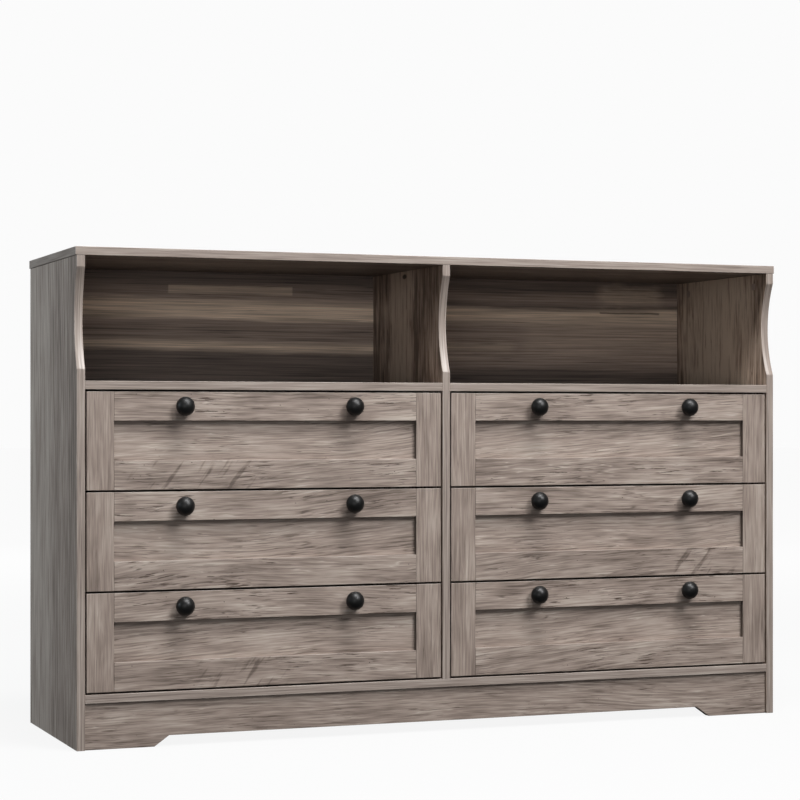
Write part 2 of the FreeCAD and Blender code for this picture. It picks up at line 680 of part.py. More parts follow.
def make_knob(knob_name, name, seat):
    """Makes a turned round knob and the screw that holds it from behind the upper rail."""
    bore = "(knob_screw / 2 + fit_play)"
    points = [
        (bore, "0"),
        ("knob_base / 2", "0"),
        ("knob_base / 2", "knob_base_reach"),
        ("knob_neck / 2", "knob_base_reach + (knob_base - knob_neck) / 2"),
        ("knob_neck / 2", "knob_neck_reach"),
        ("knob_diameter / 2", "knob_rim_reach"),
        ("0", "knob_reach"),
        ("0", "knob_grip"),
        (bore, "knob_grip"),
    ]
    knob = turned(f"{knob_name}_knob", points, seat, "-Y", {4: FLARE_RADIUS, 5: DOME_RADIUS})
    add_to_group(f"{name}_knobs", knob)
    rear_seat = (seat[0], FRONT_BACK, seat[2])
    screw(f"{knob_name}_knob", rear_seat, "-Y", "(front_thickness + knob_grip)",
          (f"{name}_upper_rail",), f"{name}_fixings", "knob_screw")


def make_drawers():
    for column in COLUMNS:
        for count, level in enumerate(ROWS):
            name = f"{column}_{level}_drawer"
            lower = f"({FLOOR_TOP} + row_gap + {count} * ({FRONT_HEIGHT} + row_gap))"
            box_floor = f"({lower} + box_lift)"
            make_runners(name, column, box_floor)
            make_box(name, column, box_floor)
            make_front(name, column, lower)
            for piece in ("front_frame", "box_walls", "knobs", "runners", "fixings"):
                finish_group(f"{name}_{piece}")


def check_and_write():
    """Stops if anything failed, then writes each node's solids."""
    doc.recompute()
    for item in doc.Objects:
        if "Invalid" in item.State or "Error" in item.State:
            raise RuntimeError(f"{item.Label} failed")
        if item.TypeId == "Part::Cut" and item.Shape.Volume >= item.Base.Shape.Volume:
            raise RuntimeError(f"{item.Label} has nothing cut from it")
    for node in nodes:
        if node.Shape.isNull() or not node.Shape.isValid():
            raise RuntimeError(f"{node.Label} has no valid shape")
    os.makedirs("parts", exist_ok=True)
    for node in nodes:
        node.Shape.exportStep(f"parts/{node.Label}.step")


make_drawers()
join_case()
screw_back_sheets()
make_centre_foot()
make_uprights()
make_level_boards()
make_rails()
make_back_sheets()
for fasteners in ("cabinet_runners", "runner_screws", "cam_locks", "cam_bolts", "dowels", "back_screws"):
    finish_group(fasteners)
check_and_write()
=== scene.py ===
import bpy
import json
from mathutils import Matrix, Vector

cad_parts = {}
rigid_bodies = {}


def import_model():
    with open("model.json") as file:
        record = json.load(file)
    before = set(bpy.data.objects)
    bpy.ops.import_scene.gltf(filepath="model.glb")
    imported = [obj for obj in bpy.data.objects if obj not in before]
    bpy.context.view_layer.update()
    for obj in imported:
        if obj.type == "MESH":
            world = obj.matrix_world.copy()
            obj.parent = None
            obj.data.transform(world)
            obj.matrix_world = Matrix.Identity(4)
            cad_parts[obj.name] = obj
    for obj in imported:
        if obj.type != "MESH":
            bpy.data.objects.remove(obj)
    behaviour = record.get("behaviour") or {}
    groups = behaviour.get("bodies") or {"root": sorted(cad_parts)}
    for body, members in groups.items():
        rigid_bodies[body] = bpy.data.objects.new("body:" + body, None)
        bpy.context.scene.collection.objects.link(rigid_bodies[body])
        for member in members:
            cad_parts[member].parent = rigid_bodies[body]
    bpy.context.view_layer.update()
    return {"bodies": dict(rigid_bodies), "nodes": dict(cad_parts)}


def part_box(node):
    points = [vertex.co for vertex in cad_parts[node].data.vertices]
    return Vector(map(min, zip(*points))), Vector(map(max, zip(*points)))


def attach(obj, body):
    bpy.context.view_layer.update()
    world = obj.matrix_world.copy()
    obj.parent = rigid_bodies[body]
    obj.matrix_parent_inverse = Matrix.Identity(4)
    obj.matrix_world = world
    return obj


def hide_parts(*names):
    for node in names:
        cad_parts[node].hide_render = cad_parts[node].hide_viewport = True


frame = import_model()

import json
import math
import random

import bmesh
import bpy
from bpy.props import FloatProperty, FloatVectorProperty, IntProperty, PointerProperty
from mathutils import Matrix, Vector

bl_info = {
    "name": "Dresser with hutch",
    "version": (1, 0, 0),
    "blender": (4, 5, 0),
    "location": "3D View > Sidebar > Dresser",
    "description": "Dresses a six-drawer dresser with an open hutch in printed wood and black knobs",
    "category": "Object",
}

X, Y, Z = 0, 1, 2
CASE = "case"
DRAWERS = [body for body in frame["bodies"] if body != CASE]
GRAIN_MAP = "grain"
ARRIS = "arris"
WHITE = (1.0, 1.0, 1.0)
SAME_PLACE = 1e-6
# Edges flatter than the first angle are shaded smooth, and those sharper than the second are eased.
SMOOTH_BELOW = math.radians(10.0)
SHARP_ABOVE = math.radians(30.0)
# A fastener wider than this is a cam, and one whose head is wider than this many shanks is a screw.
CAM_WIDTH = 0.012
SCREW_HEAD = 1.6
# Limits on the part of a face's normal along an axis: it faces that way, faces it squarely, stands edge on
# to it, or tilts upwards.
FACING = 0.5
SQUARELY = 0.9
EDGE_ON = 0.1
UPWARDS = 0.2
# How much paler band the eased edges show, edge wear with a painted highlight where they face up: on boards,
# on drawer fronts, and where they don't face up, wear alone.
BOARD_WEAR_AND_HIGHLIGHT = 0.4
FRONT_WEAR_AND_HIGHLIGHT = 0.15
SHADED_WEAR = 0.1
# Print that a board's place is drawn from, and how far its faces and their opposites lie apart on it.
PRINT_LENGTH = 30.0
FACE_SHIFT = 1.7
OPPOSITE_SHIFT = 0.9

# Each case board: the axis of its thickness, the axis of its grain and the finish it wears.
CASE_BOARDS = {
    "top_panel": (Z, X, "panel"),
    "left_hutch_deck": (Z, X, "panel"),
    "right_hutch_deck": (Z, X, "panel"),
    "bottom_panel": (Z, X, "panel"),
    "rear_rail": (Y, X, "panel"),
    "left_side_panel": (X, Z, "bay_side"),
    "right_side_panel": (X, Z, "bay_side"),
    "centre_partition": (X, Z, "partition"),
    "kick_plate": (Y, X, "kick"),
}
UPRIGHTS = ("left_side_panel", "centre_partition", "right_side_panel")
OUTER_FACES = {"left_side_panel": -1.0, "right_side_panel": 1.0}
BACK_SHEETS = ("left_back_sheet", "right_back_sheet")
SHEETS_HELD = {
    "left_side_panel": ("left_back_sheet",),
    "right_side_panel": ("right_back_sheet",),
    "centre_partition": BACK_SHEETS,
    "top_panel": BACK_SHEETS,
}


# Settings

def settings_of(kind, **traits):
    """Gives a short maker of one kind of setting."""
    def make(name, description, default):
        return kind(name=name, description=description, default=default, **traits)
    return make


count = settings_of(IntProperty, min=8)
number = settings_of(FloatProperty)
brightness = settings_of(FloatProperty, min=0.0)
length = settings_of(FloatProperty, unit="LENGTH", precision=4)
share = settings_of(FloatProperty, min=0.0, max=1.0, subtype="FACTOR")
watts = settings_of(FloatProperty, min=0.0, unit="POWER")
turn = settings_of(FloatProperty, subtype="ANGLE")
lens = settings_of(FloatProperty, unit="CAMERA")
colour = settings_of(FloatVectorProperty, size=3, min=0.0, max=1.0, subtype="COLOR")
location = settings_of(FloatVectorProperty, size=3, subtype="TRANSLATION", unit="LENGTH")


class DresserShapeSettings(bpy.types.PropertyGroup):
    arris: length("Arris", "Width of the eased edges of the boards", 0.0006)
    arc_flat: length("Arc flat", "Straight edge above and below each arc of the uprights", 0.020)
    arc_depth: length("Arc depth", "How far each arc cuts in behind the front edge", 0.020)
    arc_steps: count("Arc steps", "Straight runs that make up an arc", 48)
    cutout_margin: length("Cut-out margin", "End of the kick plate to its cut-out, at the floor", 0.126)
    cutout_slope: length("Cut-out slope", "Run of the slanted ends of the cut-out", 0.027)
    cutout_height: length("Cut-out height", "Height of the cut-out in the kick plate", 0.019)
    sheet_lap: length("Sheet lap", "How far a recessed sheet laps its frame", 0.0078)
    sheet_play: length("Sheet play", "Room round a sheet in its groove or rebate", 0.0002)
    box_wall: length("Box wall", "Thickness of the walls of a drawer box", 0.012)
    seam: length("Seam", "Open joint between a rail and a stile", 0.0003)
    pocket_play: length("Pocket play", "Room round a cam in its pocket", 0.00005)
    knob_base: length("Knob base", "Diameter of a knob where it meets the drawer", 0.015)
    knob_base_reach: length("Knob base reach", "Thickness of the straight part of a knob's base", 0.0012)
    knob_neck: length("Knob neck", "Diameter of a knob's neck", 0.012)
    knob_neck_reach: length("Knob neck reach", "Drawer front to where a knob's neck flares out", 0.0035)
    knob_rim_reach: length("Knob rim reach", "Drawer front to the widest circle of a knob", 0.015)
    knob_sides: count("Knob sides", "Runs round a turned knob", 48)


class DresserFinishSettings(bpy.types.PropertyGroup):
    wood_dark: colour("Dark streaks", "Darkest tone of the printed wood", (0.105, 0.078, 0.063))
    wood_middle: colour("Middle tone", "Main tone of the printed wood", (0.285, 0.227, 0.194))
    wood_light: colour("Light streaks", "Lightest tone of the printed wood", (0.465, 0.402, 0.350))
    wood_mark: colour("Marks", "Cracks, knots and specks in the print", (0.066, 0.045, 0.034))
    print_shadow: colour("Print shadow", "Darkest bands of the back print", (0.168, 0.131, 0.112))
    print_brown: colour("Print brown", "Middle bands of the back print", (0.364, 0.284, 0.237))
    print_tan: colour("Print tan", "Lightest bands of the back print", (0.735, 0.590, 0.462))
    board_raw: colour("Raw hardboard", "Unprinted rear of the back sheets", (0.250, 0.165, 0.100))
    knob_black: colour("Knob", "Lacquer of the knobs", (0.004, 0.004, 0.004))
    zinc: colour("Zinc", "Plating of the runners and screws", (0.560, 0.570, 0.590))
    beech: colour("Beech", "Raw wood of the dowels", (0.45, 0.31, 0.19))
    plastic: colour("Plastic", "Moulded plastic of the centre foot", (0.02, 0.02, 0.02))


class DresserStageSettings(bpy.types.PropertyGroup):
    camera_place: location("Camera", "Where the camera stands", (-1.5655, -3.9612, 0.5803))
    camera_turn: turn("Turn", "Camera's turn to the right of the depth axis", math.radians(21.22))
    camera_lens: lens("Lens", "Focal length on a 36 mm sensor", 98.96)
    shift_x: number("Shift X", "Sideways shift of the frame", 0.0035)
    shift_y: number("Shift Y", "Upward shift of the frame", 0.0236)
    key_power: watts("Key", "Soft light from the upper right in front", 320.0)
    top_power: watts("Top", "Soft light from above", 215.0)
    side_power: watts("Side", "Soft light from the left", 122.0)
    fill_power: watts("Fill", "Low soft light from the left in front", 47.0)
    rear_power: watts("Rear", "Soft light from behind", 100.0)
    ambient: brightness("Ambient", "Strength of the light all round", 0.105)
    floor_tone: colour("Floor", "Tone of the floor", (0.040, 0.040, 0.040))
    floor_glow: share("Floor glow", "Light that the floor gives back evenly near the object", 0.895)


# Node trees

class Value:
    """A number in a node tree; sums on it add Math nodes"""

    def __init__(self, socket):
        self.socket = socket
        self.tree = socket.id_data

    def calc(self, operation, *others):
        node = add(self.tree, "ShaderNodeMath", dict(enumerate((self, *others))), operation=operation)
        return Value(node.outputs[0])

    def __add__(self, other):
        return self.calc("ADD", other)

    def __sub__(self, other):
        return self.calc("SUBTRACT", other)

    def __mul__(self, other):
        return self.calc("MULTIPLY", other)

    def __truediv__(self, other):
        return self.calc("DIVIDE", other)

    __radd__ = __add__

    def fade(self, start, stop, low=0.0, high=1.0, kind="SMOOTHSTEP"):
        """Goes smoothly from low to high while the value goes from start to stop, and holds its ends."""
        inputs = {"Value": self, "From Min": start, "From Max": stop, "To Min": low, "To Max": high}
        return Value(add(self.tree, "ShaderNodeMapRange", inputs, interpolation_type=kind).outputs["Result"])

    def line(self, *ends):
        """Goes in a straight line, as fade does in a smooth one."""
        return self.fade(*ends, kind="LINEAR")


def add(tree, kind, inputs=None, **settings):
    """Adds a node, sets its own settings, and links or fills its inputs."""
    node = tree.nodes.new(kind)
    for name, value in settings.items():
        setattr(node, name, value)
    plug(node.inputs, inputs or {})
    return node


def plug(sockets, values):
    """Links values to named sockets, or sets plain numbers and colours on them."""
    for key, value in values.items():
        socket = sockets[key]
        source = value.socket if isinstance(value, Value) else value
        if isinstance(source, bpy.types.NodeSocket):
            socket.id_data.links.new(source, socket)
        else:
            socket.default_value = source


def split(place):
    """Gives the three numbers of a place."""
    parts = add(place.id_data, "ShaderNodeSeparateXYZ", {0: place}).outputs
    return {axis: Value(parts[axis]) for axis in "XYZ"}


def combine(tree, **parts):
    """Gives a place from numbers called X, Y and Z."""
    return add(tree, "ShaderNodeCombineXYZ", parts).outputs[0]


def vector_calc(operation, place, other):
    return add(place.id_data, "ShaderNodeVectorMath", {0: place, 1: other}, operation=operation).outputs[0]


def noise(place, scales, offset=(0.0, 0.0), detail=2.0, roughness=0.5):
    """Adds flat noise with its own scale along and across a map."""
    tree = place.id_data
    inputs = {0: place, 1: (*scales, 0.0), 2: (*offset, 0.0)}
    stretched = add(tree, "ShaderNodeVectorMath", inputs, operation="MULTIPLY_ADD").outputs[0]
    inputs = {"Vector": stretched, "Scale": 1.0, "Detail": detail, "Roughness": roughness}
    return Value(add(tree, "ShaderNodeTexNoise", inputs, noise_dimensions="2D").outputs[0])


def ridge(value, width):
    """Gives a thin line where a value passes its middle, 1 on the line and 0 a width away."""
    return (value - 0.5).calc("ABSOLUTE").fade(0.0, width, 1.0, 0.0)


def group_tree(name, inputs, outputs, kind="ShaderNodeTree"):
    """Starts a node group with named sockets; inputs maps a name to its kind and default."""
    tree = bpy.data.node_groups.new(name, kind)
    for label, (value, default) in inputs.items():
        socket = tree.interface.new_socket(label, in_out="INPUT", socket_type=f"NodeSocket{value}")
        if default is not None:
            socket.default_value = default
    for label, value in outputs.items():
        tree.interface.new_socket(label, in_out="OUTPUT", socket_type=f"NodeSocket{value}")
    return tree, tree.nodes.new("NodeGroupInput").outputs, tree.nodes.new("NodeGroupOutput").inputs


def built_once(name):
    """Lets a node group be built when it is first asked for and found by its name after that."""
    def wrap(build):
        return lambda: bpy.data.node_groups.get(name) or build(name)
    return wrap


# Sways of the grain: scales along and across the board, and reach.
GRAIN_SWAYS = (((1.1, 2.4), 0.080), ((6.0, 19.0), 0.006), ((26.0, 55.0), 0.0010))
# Layers of the grain's tone: scales along and across the board, offset, detail and roughness.
GRAIN_LAYERS = {
    "Bands": ((0.7, 19.0), (0.0, 0.0), 2.0, 0.5),
    "Streaks": ((7.0, 150.0), (0.0, 0.0), 4.0, 0.72),
    "Fibres": ((12.0, 330.0), (0.0, 0.0), 2.0, 0.6),
    "Clouds": ((5.5, 26.0), (7.0, 3.0), 3.0, 0.6),
}
# Pale and dark lines of the grain: offset and tone.
GRAIN_LINES = (((2.0, 9.0), 0.30), ((12.0, 4.0), -0.36))
LINE_WIDTH = 0.022
SAW_ANGLE = math.radians(-56.0)
SAW_TONE = -0.30


@built_once("Printed grain")
def grain_group(name):
    """Builds the printed grain that every board shares, on a map in metres with U along the grain."""
    inputs = {"Map": ("Vector", None)} | {label: ("Float", 0.5) for label in GRAIN_AMOUNTS}
    outputs = {"Tone": "Float", "Marks": "Float", "Relief": "Float"}
    tree, given, result = group_tree(name, inputs, outputs)
    place = given["Map"]
    amount = {label: Value(given[label]) for label in GRAIN_AMOUNTS}
    across = sum((noise(place, scales, detail=1.0) - 0.5) * reach for scales, reach in GRAIN_SWAYS)
    across = across * amount["Wave"] - split(place)["X"] * amount["Lean"]
    waved = vector_calc("ADD", place, combine(tree, Y=across))
    layers = {label: noise(waved, *layer) for label, layer in GRAIN_LAYERS.items()}
    tone = sum((layer - 0.5) * 2.0 * amount[label] for label, layer in layers.items()) + 0.5
    for offset, level in GRAIN_LINES:
        line = ridge(noise(waved, (3.0, 72.0), offset, 3.0, 0.55), LINE_WIDTH)
        where = noise(waved, (7.0, 26.0), offset).fade(0.42, 0.66)
        tone = tone + line * where * (amount["Lines"] * level)
    dash = noise(waved, (17.0, 300.0), (3.0, 11.0), 3.0, 0.6).fade(0.59, 0.65)
    patch = noise(place, (7.0, 22.0), (1.0, 5.0), 1.0).fade(0.48, 0.60)
    speck = noise(place, (150.0, 260.0), detail=0.0).fade(0.92, 0.95)
    cracks = (dash * patch).calc("MAXIMUM", speck) * amount["Cracks"]
    turning = {"Vector": waved, "Angle": SAW_ANGLE}
    turned = add(tree, "ShaderNodeVectorRotate", turning, rotation_type="Z_AXIS").outputs[0]
    stroke = noise(turned, (11.0, 75.0)).fade(0.56, 0.74)
    tone = tone + stroke * amount["Saw marks"] * SAW_TONE
    relief = layers["Fibres"] * 0.4 + layers["Streaks"] * 0.6 - cracks * 0.8
    even = add(tree, "ShaderNodeClamp", {"Value": tone}).outputs[0]
    plug(result, {"Tone": even, "Marks": cracks, "Relief": relief})
    return tree


@built_once("Worn edge")
def worn_and_highlit_edge_group(name):
    """Builds the mask of the eased edges, where a board shows paler band, broken up along their length: edge
    wear, with a painted highlight on the edges that face up.
    """
    tree, given, result = group_tree(name, {"Map": ("Vector", None)}, {"Mask": "Float"})
    edge = add(tree, "ShaderNodeAttribute", attribute_name=ARRIS, attribute_type="GEOMETRY").outputs["Fac"]
    broken = noise(given["Map"], (22.0, 22.0), detail=3.0).fade(0.25, 0.60, 0.35, 1.0)
    plug(result, {"Mask": broken * edge})
    return tree


@built_once("Fine grit")
def fine_grit_group(name):
    """Builds a fine uneven mask for lacquer, plating and moulded plastic, on object coordinates."""
    inputs = {"Grit": ("Float", 900.0), "Cloud": ("Float", 40.0)}
    tree, given, result = group_tree(name, inputs, {"Mask": "Float", "Height": "Float"})
    place = add(tree, "ShaderNodeTexCoord").outputs["Object"]
    layers = {}
    for label, detail in (("Grit", 2.0), ("Cloud", 3.0)):
        inputs = {"Vector": place, "Scale": given[label], "Detail": detail}
        layers[label] = Value(add(tree, "ShaderNodeTexNoise", inputs).outputs[0])
    plug(result, {"Mask": layers["Grit"] * 0.4 + layers["Cloud"] * 0.6, "Height": layers["Grit"]})
    return tree


# Materials

def new_material(name):
    """Starts a node material and gives its tree and its shader."""
    material = bpy.data.materials.new(name)
    material.use_nodes = True
    tree = material.node_tree
    tree.nodes.clear()
    shader = tree.nodes.new("ShaderNodeBsdfPrincipled")
    add(tree, "ShaderNodeOutputMaterial", {"Surface": shader.outputs[0]})
    return material, tree, shader


def opaque(rgb):
    return (*rgb, 1.0)


def toned(rgb, tint):
    """Multiplies a colour by a number, or by one number for each of its parts."""
    factors = tint if isinstance(tint, tuple) else (tint, tint, tint)
    return [part * factor for part, factor in zip(rgb, factors)]


def ramp(value, stops):
    """Adds a colour ramp; stops maps a place from 0 to 1 to a colour."""
    node = add(value.tree, "ShaderNodeValToRGB", {"Fac": value})
    elements = node.color_ramp.elements
    while len(elements) < len(stops):
        elements.new(0.5)
    for element, (place, rgb) in zip(elements, sorted(stops.items())):
        element.position = place
        element.color = opaque(rgb)
    return node.outputs["Color"]


def mix(first, second, share_of_second, blend="MIX"):
    """Adds a mix of two colours."""
    node = add(first.id_data, "ShaderNodeMix", data_type="RGBA", blend_type=blend)
    sockets = {socket.identifier: socket for socket in node.inputs}
    plug(sockets, {"Factor_Float": share_of_second, "A_Color": first, "B_Color": second})
    return next(socket for socket in node.outputs if socket.identifier == "Result_Color")


def object_axes(tree):
    """Gives the three object coordinates of a surface."""
    return split(add(tree, "ShaderNodeTexCoord").outputs["Object"])


def bumped(tree, height, strength, distance):
    inputs = {"Height": height, "Strength": strength, "Distance": distance}
    return add(tree, "ShaderNodeBump", inputs).outputs[0]


def start_wood(name, grain_key):
    """Starts a laminate with the shared grain and gives it with its tree, shader, grain node and tone."""
    material, tree, shader = new_material(name)
    grain_map = add(tree, "ShaderNodeUVMap", uv_map=GRAIN_MAP).outputs[0]
    drawn_out = vector_calc("MULTIPLY", grain_map, (*GRAIN_SCALES.get(grain_key, (1.0, 1.0)), 1.0))
    inputs = {"Map": drawn_out} | dict(zip(GRAIN_AMOUNTS, GRAINS[grain_key]))
    grain = add(tree, "ShaderNodeGroup", inputs, node_tree=grain_group())
    plug(shader.inputs, {"Normal": bumped(tree, grain.outputs["Relief"], PRINT_BUMP, PRINT_DEPTH)})
    return material, tree, shader, grain, Value(grain.outputs["Tone"])


def print_gloss(print_tone, low, high):
    """Gives the roughness of a print, low where it is pale and high where it is dark."""
    return print_tone.fade(0.2, 0.8, high, low)


def sawn_mask(flat, stretches):
    """Gives where the print shows saw marks: 1 inside a stretch of a drawer's front and 0 elsewhere."""
    soft = 0.02
    masks = []
    for drawer, stretch in stretches.items():
        low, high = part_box(f"{drawer}_front_frame")
        sides = []
        for axis, (start, stop) in {"X": stretch, "Z": (low.z - soft, high.z)}.items():
            near = flat[axis].fade(start - soft, start + soft)
            sides.append(near * flat[axis].fade(stop - soft, stop + soft, 1.0, 0.0))
        masks.append(sides[0] * sides[1])
    return sum(masks)


def printed_wood(
    name, finish, grain_key, tint=1.0, roughness=(0.36, 0.50), specular=0.5, drift=None, knot=None, sawn=None,
):
    """Makes a satin laminate; tint multiplies its tones, and drift changes them through the depth."""
    material, tree, shader, grain, print_tone = start_wood(name, grain_key)
    tone = print_tone
    marks = Value(grain.outputs["Marks"])
    flat = object_axes(tree)
    if sawn:
        plug(grain.inputs, {"Saw marks": sawn_mask(flat, sawn)})
    if drift:
        low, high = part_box("centre_partition")
        levels = {stop: (level, level, level) for stop, level in drift.items()}
        tone = tone + (Value(ramp(flat["Y"].line(low.y, high.y), levels)) - 0.5)
    if knot:
        reach = [((flat[axis] - place) / size).calc("POWER", 2.0) for axis, (place, size) in knot.items()]
        marks = marks.calc("MAXIMUM", sum(reach).calc("SQRT").fade(0.6, 1.1, 1.0, 0.0))
    tones = {0.12: finish.wood_dark, 0.5: finish.wood_middle, 0.9: finish.wood_light}
    wood = ramp(tone, {place: toned(rgb, tint) for place, rgb in tones.items()})
    wood = mix(wood, opaque(finish.wood_mark), marks)
    grain_map = add(tree, "ShaderNodeUVMap", uv_map=GRAIN_MAP).outputs[0]
    # Eased edges take the light tone: edge wear, with a painted highlight on those that face up.
    worn_and_highlit = add(tree, "ShaderNodeGroup", {"Map": grain_map}, node_tree=worn_and_highlit_edge_group()).outputs["Mask"]
    wood = mix(wood, opaque(toned(finish.wood_light, tint)), Value(worn_and_highlit) * WORN_AND_HIGHLIT_SHARE)
    gloss = print_gloss(print_tone, *roughness)
    plug(shader.inputs, {"Base Color": wood, "Roughness": gloss, "Specular IOR Level": specular})
    return material


def banded_print(name, finish, bands, patches):
    """Makes the print of a back sheet: bands by height in its bay, and patches between x and z limits."""
    material, tree, shader, _, print_tone = start_wood(name, "back")
    tones = {tone: getattr(finish, f"print_{tone}") for tone in ("shadow", "brown", "tan")}
    flat = object_axes(tree)
    level = combine(tree, X=flat["X"], Y=flat["Z"])
    height = flat["Z"].line(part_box("left_hutch_deck")[1].z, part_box("top_panel")[0].z)
    for scales, reach in BAND_SWAYS:
        height = (noise(level, scales) - 0.5) * reach + height
    wood = ramp(height, {stop: tones[tone] for stop, tone in bands.items()})
    for tone, share_here, soft, limits in patches:
        for axis, (start, stop) in limits.items():
            place = (noise(level, RAGGED_SCALES) - 0.5) * (2.0 * soft) + flat[axis]
            for edge, beyond in ((start, soft), (stop, -soft)):
                share_here = place.line(edge - beyond, edge + beyond) * share_here
        wood = mix(wood, opaque(toned(tones[tone], PATCH_TINT)), share_here)
    lift = print_tone.line(0.0, 1.0, *BACK_LIFT)
    wood = mix(wood, combine(tree, X=lift, Y=lift, Z=lift), 1.0, "MULTIPLY")
    plug(shader.inputs, {"Base Color": wood, "Roughness": print_gloss(print_tone, *BACK_ROUGHNESS)})
    return material


def gritty(
    name, finish, base, tints, roughness, metallic=0.0, specular=0.5, grit=900.0, cloud=40.0, bump=0.1,
):
    """Makes an even finish between two tints of a base colour, with a fine uneven tone and gloss."""
    material, tree, shader = new_material(name)
    marks = add(tree, "ShaderNodeGroup", {"Grit": grit, "Cloud": cloud}, node_tree=fine_grit_group()).outputs
    mask = Value(marks["Mask"])
    dark, light = [toned(getattr(finish, base), tint) for tint in tints]
    plug(shader.inputs, {
        "Base Color": ramp(mask, {0.3: dark, 0.7: light}),
        "Roughness": mask.fade(0.3, 0.7, *roughness),
        "Metallic": metallic,
        "Specular IOR Level": specular,
        "Normal": bumped(tree, marks["Height"], bump, GRIT_DEPTH),
    })
    return material


# Strength and depth of the relief of prints, and the depth of that of the other finishes.
PRINT_BUMP = 0.35
PRINT_DEPTH = 0.0006
GRIT_DEPTH = 0.0002
# Share of the light tone on eased edges, edge wear with a painted highlight, and how far the grain lifts and
# dulls the back print.
WORN_AND_HIGHLIT_SHARE = 0.55
BACK_LIFT = (0.25, 1.75)
BACK_ROUGHNESS = (0.48, 0.62)

# Amounts of the shared grain in each printed finish.
GRAIN_AMOUNTS = ("Lean", "Wave", "Bands", "Streaks", "Lines", "Fibres", "Clouds", "Cracks", "Saw marks")
GRAINS = {
    "sheet": (0.030, 1.0, 0.10, 0.28, 1.0, 0.40, 0.32, 0.5, 0.0),
    "rail": (0.030, 0.9, 0.12, 0.30, 1.1, 0.42, 0.44, 1.0, 0.0),
    "stile": (0.0, 0.35, 0.18, 0.18, 0.4, 0.36, 0.32, 0.15, 0.0),
    "panel": (0.0, 0.7, 0.12, 0.22, 0.8, 0.38, 0.22, 0.2, 0.0),
    "side": (0.0, 0.35, 0.24, 0.60, 0.5, 0.50, 0.10, 0.1, 0.0),
    "upright": (0.0, 0.3, 0.20, 0.90, 1.0, 0.6, 0.10, 0.15, 0.0),
    "edge": (0.0, 0.2, 0.05, 0.12, 0.4, 0.40, 0.10, 0.0, 0.0),
    "kick": (0.0, 0.8, 0.12, 0.30, 0.9, 0.42, 0.28, 0.5, 0.0),
    "back": (0.0, 0.25, 0.18, 0.34, 0.8, 0.40, 0.16, 0.15, 0.0),
    "box": (0.0, 0.4, 0.12, 0.18, 0.2, 0.12, 0.05, 0.0, 0.0),
}
# Grain that is drawn out along the board or broader across it than on the drawer fronts.
GRAIN_SCALES = {
    "back": (0.35, 1.0), "upright": (0.9, 0.5), "edge": (0.6, 1.0), "side": (0.7, 1.0), "panel": (0.6, 1.0),
}

# Back print of a bay: height in the bay from its deck to the top panel, and the tone there.
# The darkest band at the top of each bay, next to the top panel, is painted shade; the other bands are print.
LEFT_BANDS = {
    0.0: "shadow", 0.28: "shadow", 0.345: "tan", 0.40: "brown", 0.555: "brown", 0.59: "tan", 0.70: "tan",
    0.76: "brown", 0.90: "shadow",
}
RIGHT_BANDS = {
    0.0: "shadow", 0.12: "shadow", 0.24: "brown", 0.57: "brown", 0.66: "tan", 0.72: "tan", 0.77: "shadow",
    0.82: "brown", 0.93: "shadow",
}
# Sways of the bands: scales across and up, and reach as a share of the bay's height.
BAND_SWAYS = (((1.2, 9.0), 0.10), ((5.0, 60.0), 0.045), ((16.0, 260.0), 0.02))
# Patches of the back print: tone, share, softness of the edges, and limits across and up.
PATCH_TINT = 0.87
RAGGED_SCALES = (25.0, 160.0)
LEFT_PATCHES = [("tan", 0.55, 0.0010, {"X": (-0.433, -0.179), "Z": (0.8250, 0.8415)})]
RIGHT_PATCHES = [
    ("tan", 0.6, 0.012, {"X": (0.500, 0.643), "Z": (0.822, 0.853)}),
    ("tan", 0.5, 0.010, {"X": (-0.020, 0.300), "Z": (0.719, 0.737)}),
    ("tan", 0.25, 0.020, {"X": (0.330, 0.700), "Z": (0.720, 0.790)}),
    ("shadow", 0.9, 0.0015, {"X": (0.500, 0.640), "Z": (0.8005, 0.8040)}),
]
# Tone of a board from its front edge to its rear edge, where 0.5 is even.
OUTER_SIDE_DRIFT = {0.0: 0.36, 0.15: 0.40, 0.5: 0.52, 0.75: 0.62, 1.0: 0.58}
# Lighter through the middle and darker towards the front; the dark at the rear is painted shade in the corner
# by the back sheets.
PARTITION_DRIFT_AND_CORNER_SHADE = {0.0: 0.30, 0.36: 0.36, 0.40: 0.84, 0.66: 0.90, 0.70: 0.46, 1.0: 0.24}
# Lighter through the middle and darker towards the front; the dark at the rear is painted shade in the corner
# by the back sheet.
BAY_SIDE_DRIFT_AND_CORNER_SHADE = {0.0: 0.40, 0.08: 0.46, 0.22: 0.82, 0.43: 0.92, 0.66: 1.0, 0.85: 0.66, 0.95: 0.36}
# Darker all over and darkest towards the rear: painted shade under the top panel.
UNDERSIDE_PAINTED_SHADE = {0.0: 0.30, 0.3: 0.18, 0.9: 0.0}
# Place and half size of the partition's knot.
PARTITION_KNOT = {"Y": (0.0118, 0.013), "Z": (0.856, 0.0055)}
# Stretches of the lower rails, across the dresser, where the print shows slanted saw marks.
SAWN_STRETCHES = {
    "left_top_drawer": (-0.60, -0.37),
    "left_bottom_drawer": (-0.47, -0.32),
    "right_middle_drawer": (0.45, 0.61),
}


def wood_finish(title, grain_key, tint=1.0, **settings):
    return printed_wood, title, {"grain_key": grain_key, "tint": tint} | settings


def back_finish(title, bands, patches):
    return banded_print, title, {"bands": bands, "patches": patches}


def plain_finish(title, base, tints, roughness, **settings):
    return gritty, title, {"base": base, "tints": tints, "roughness": roughness} | settings


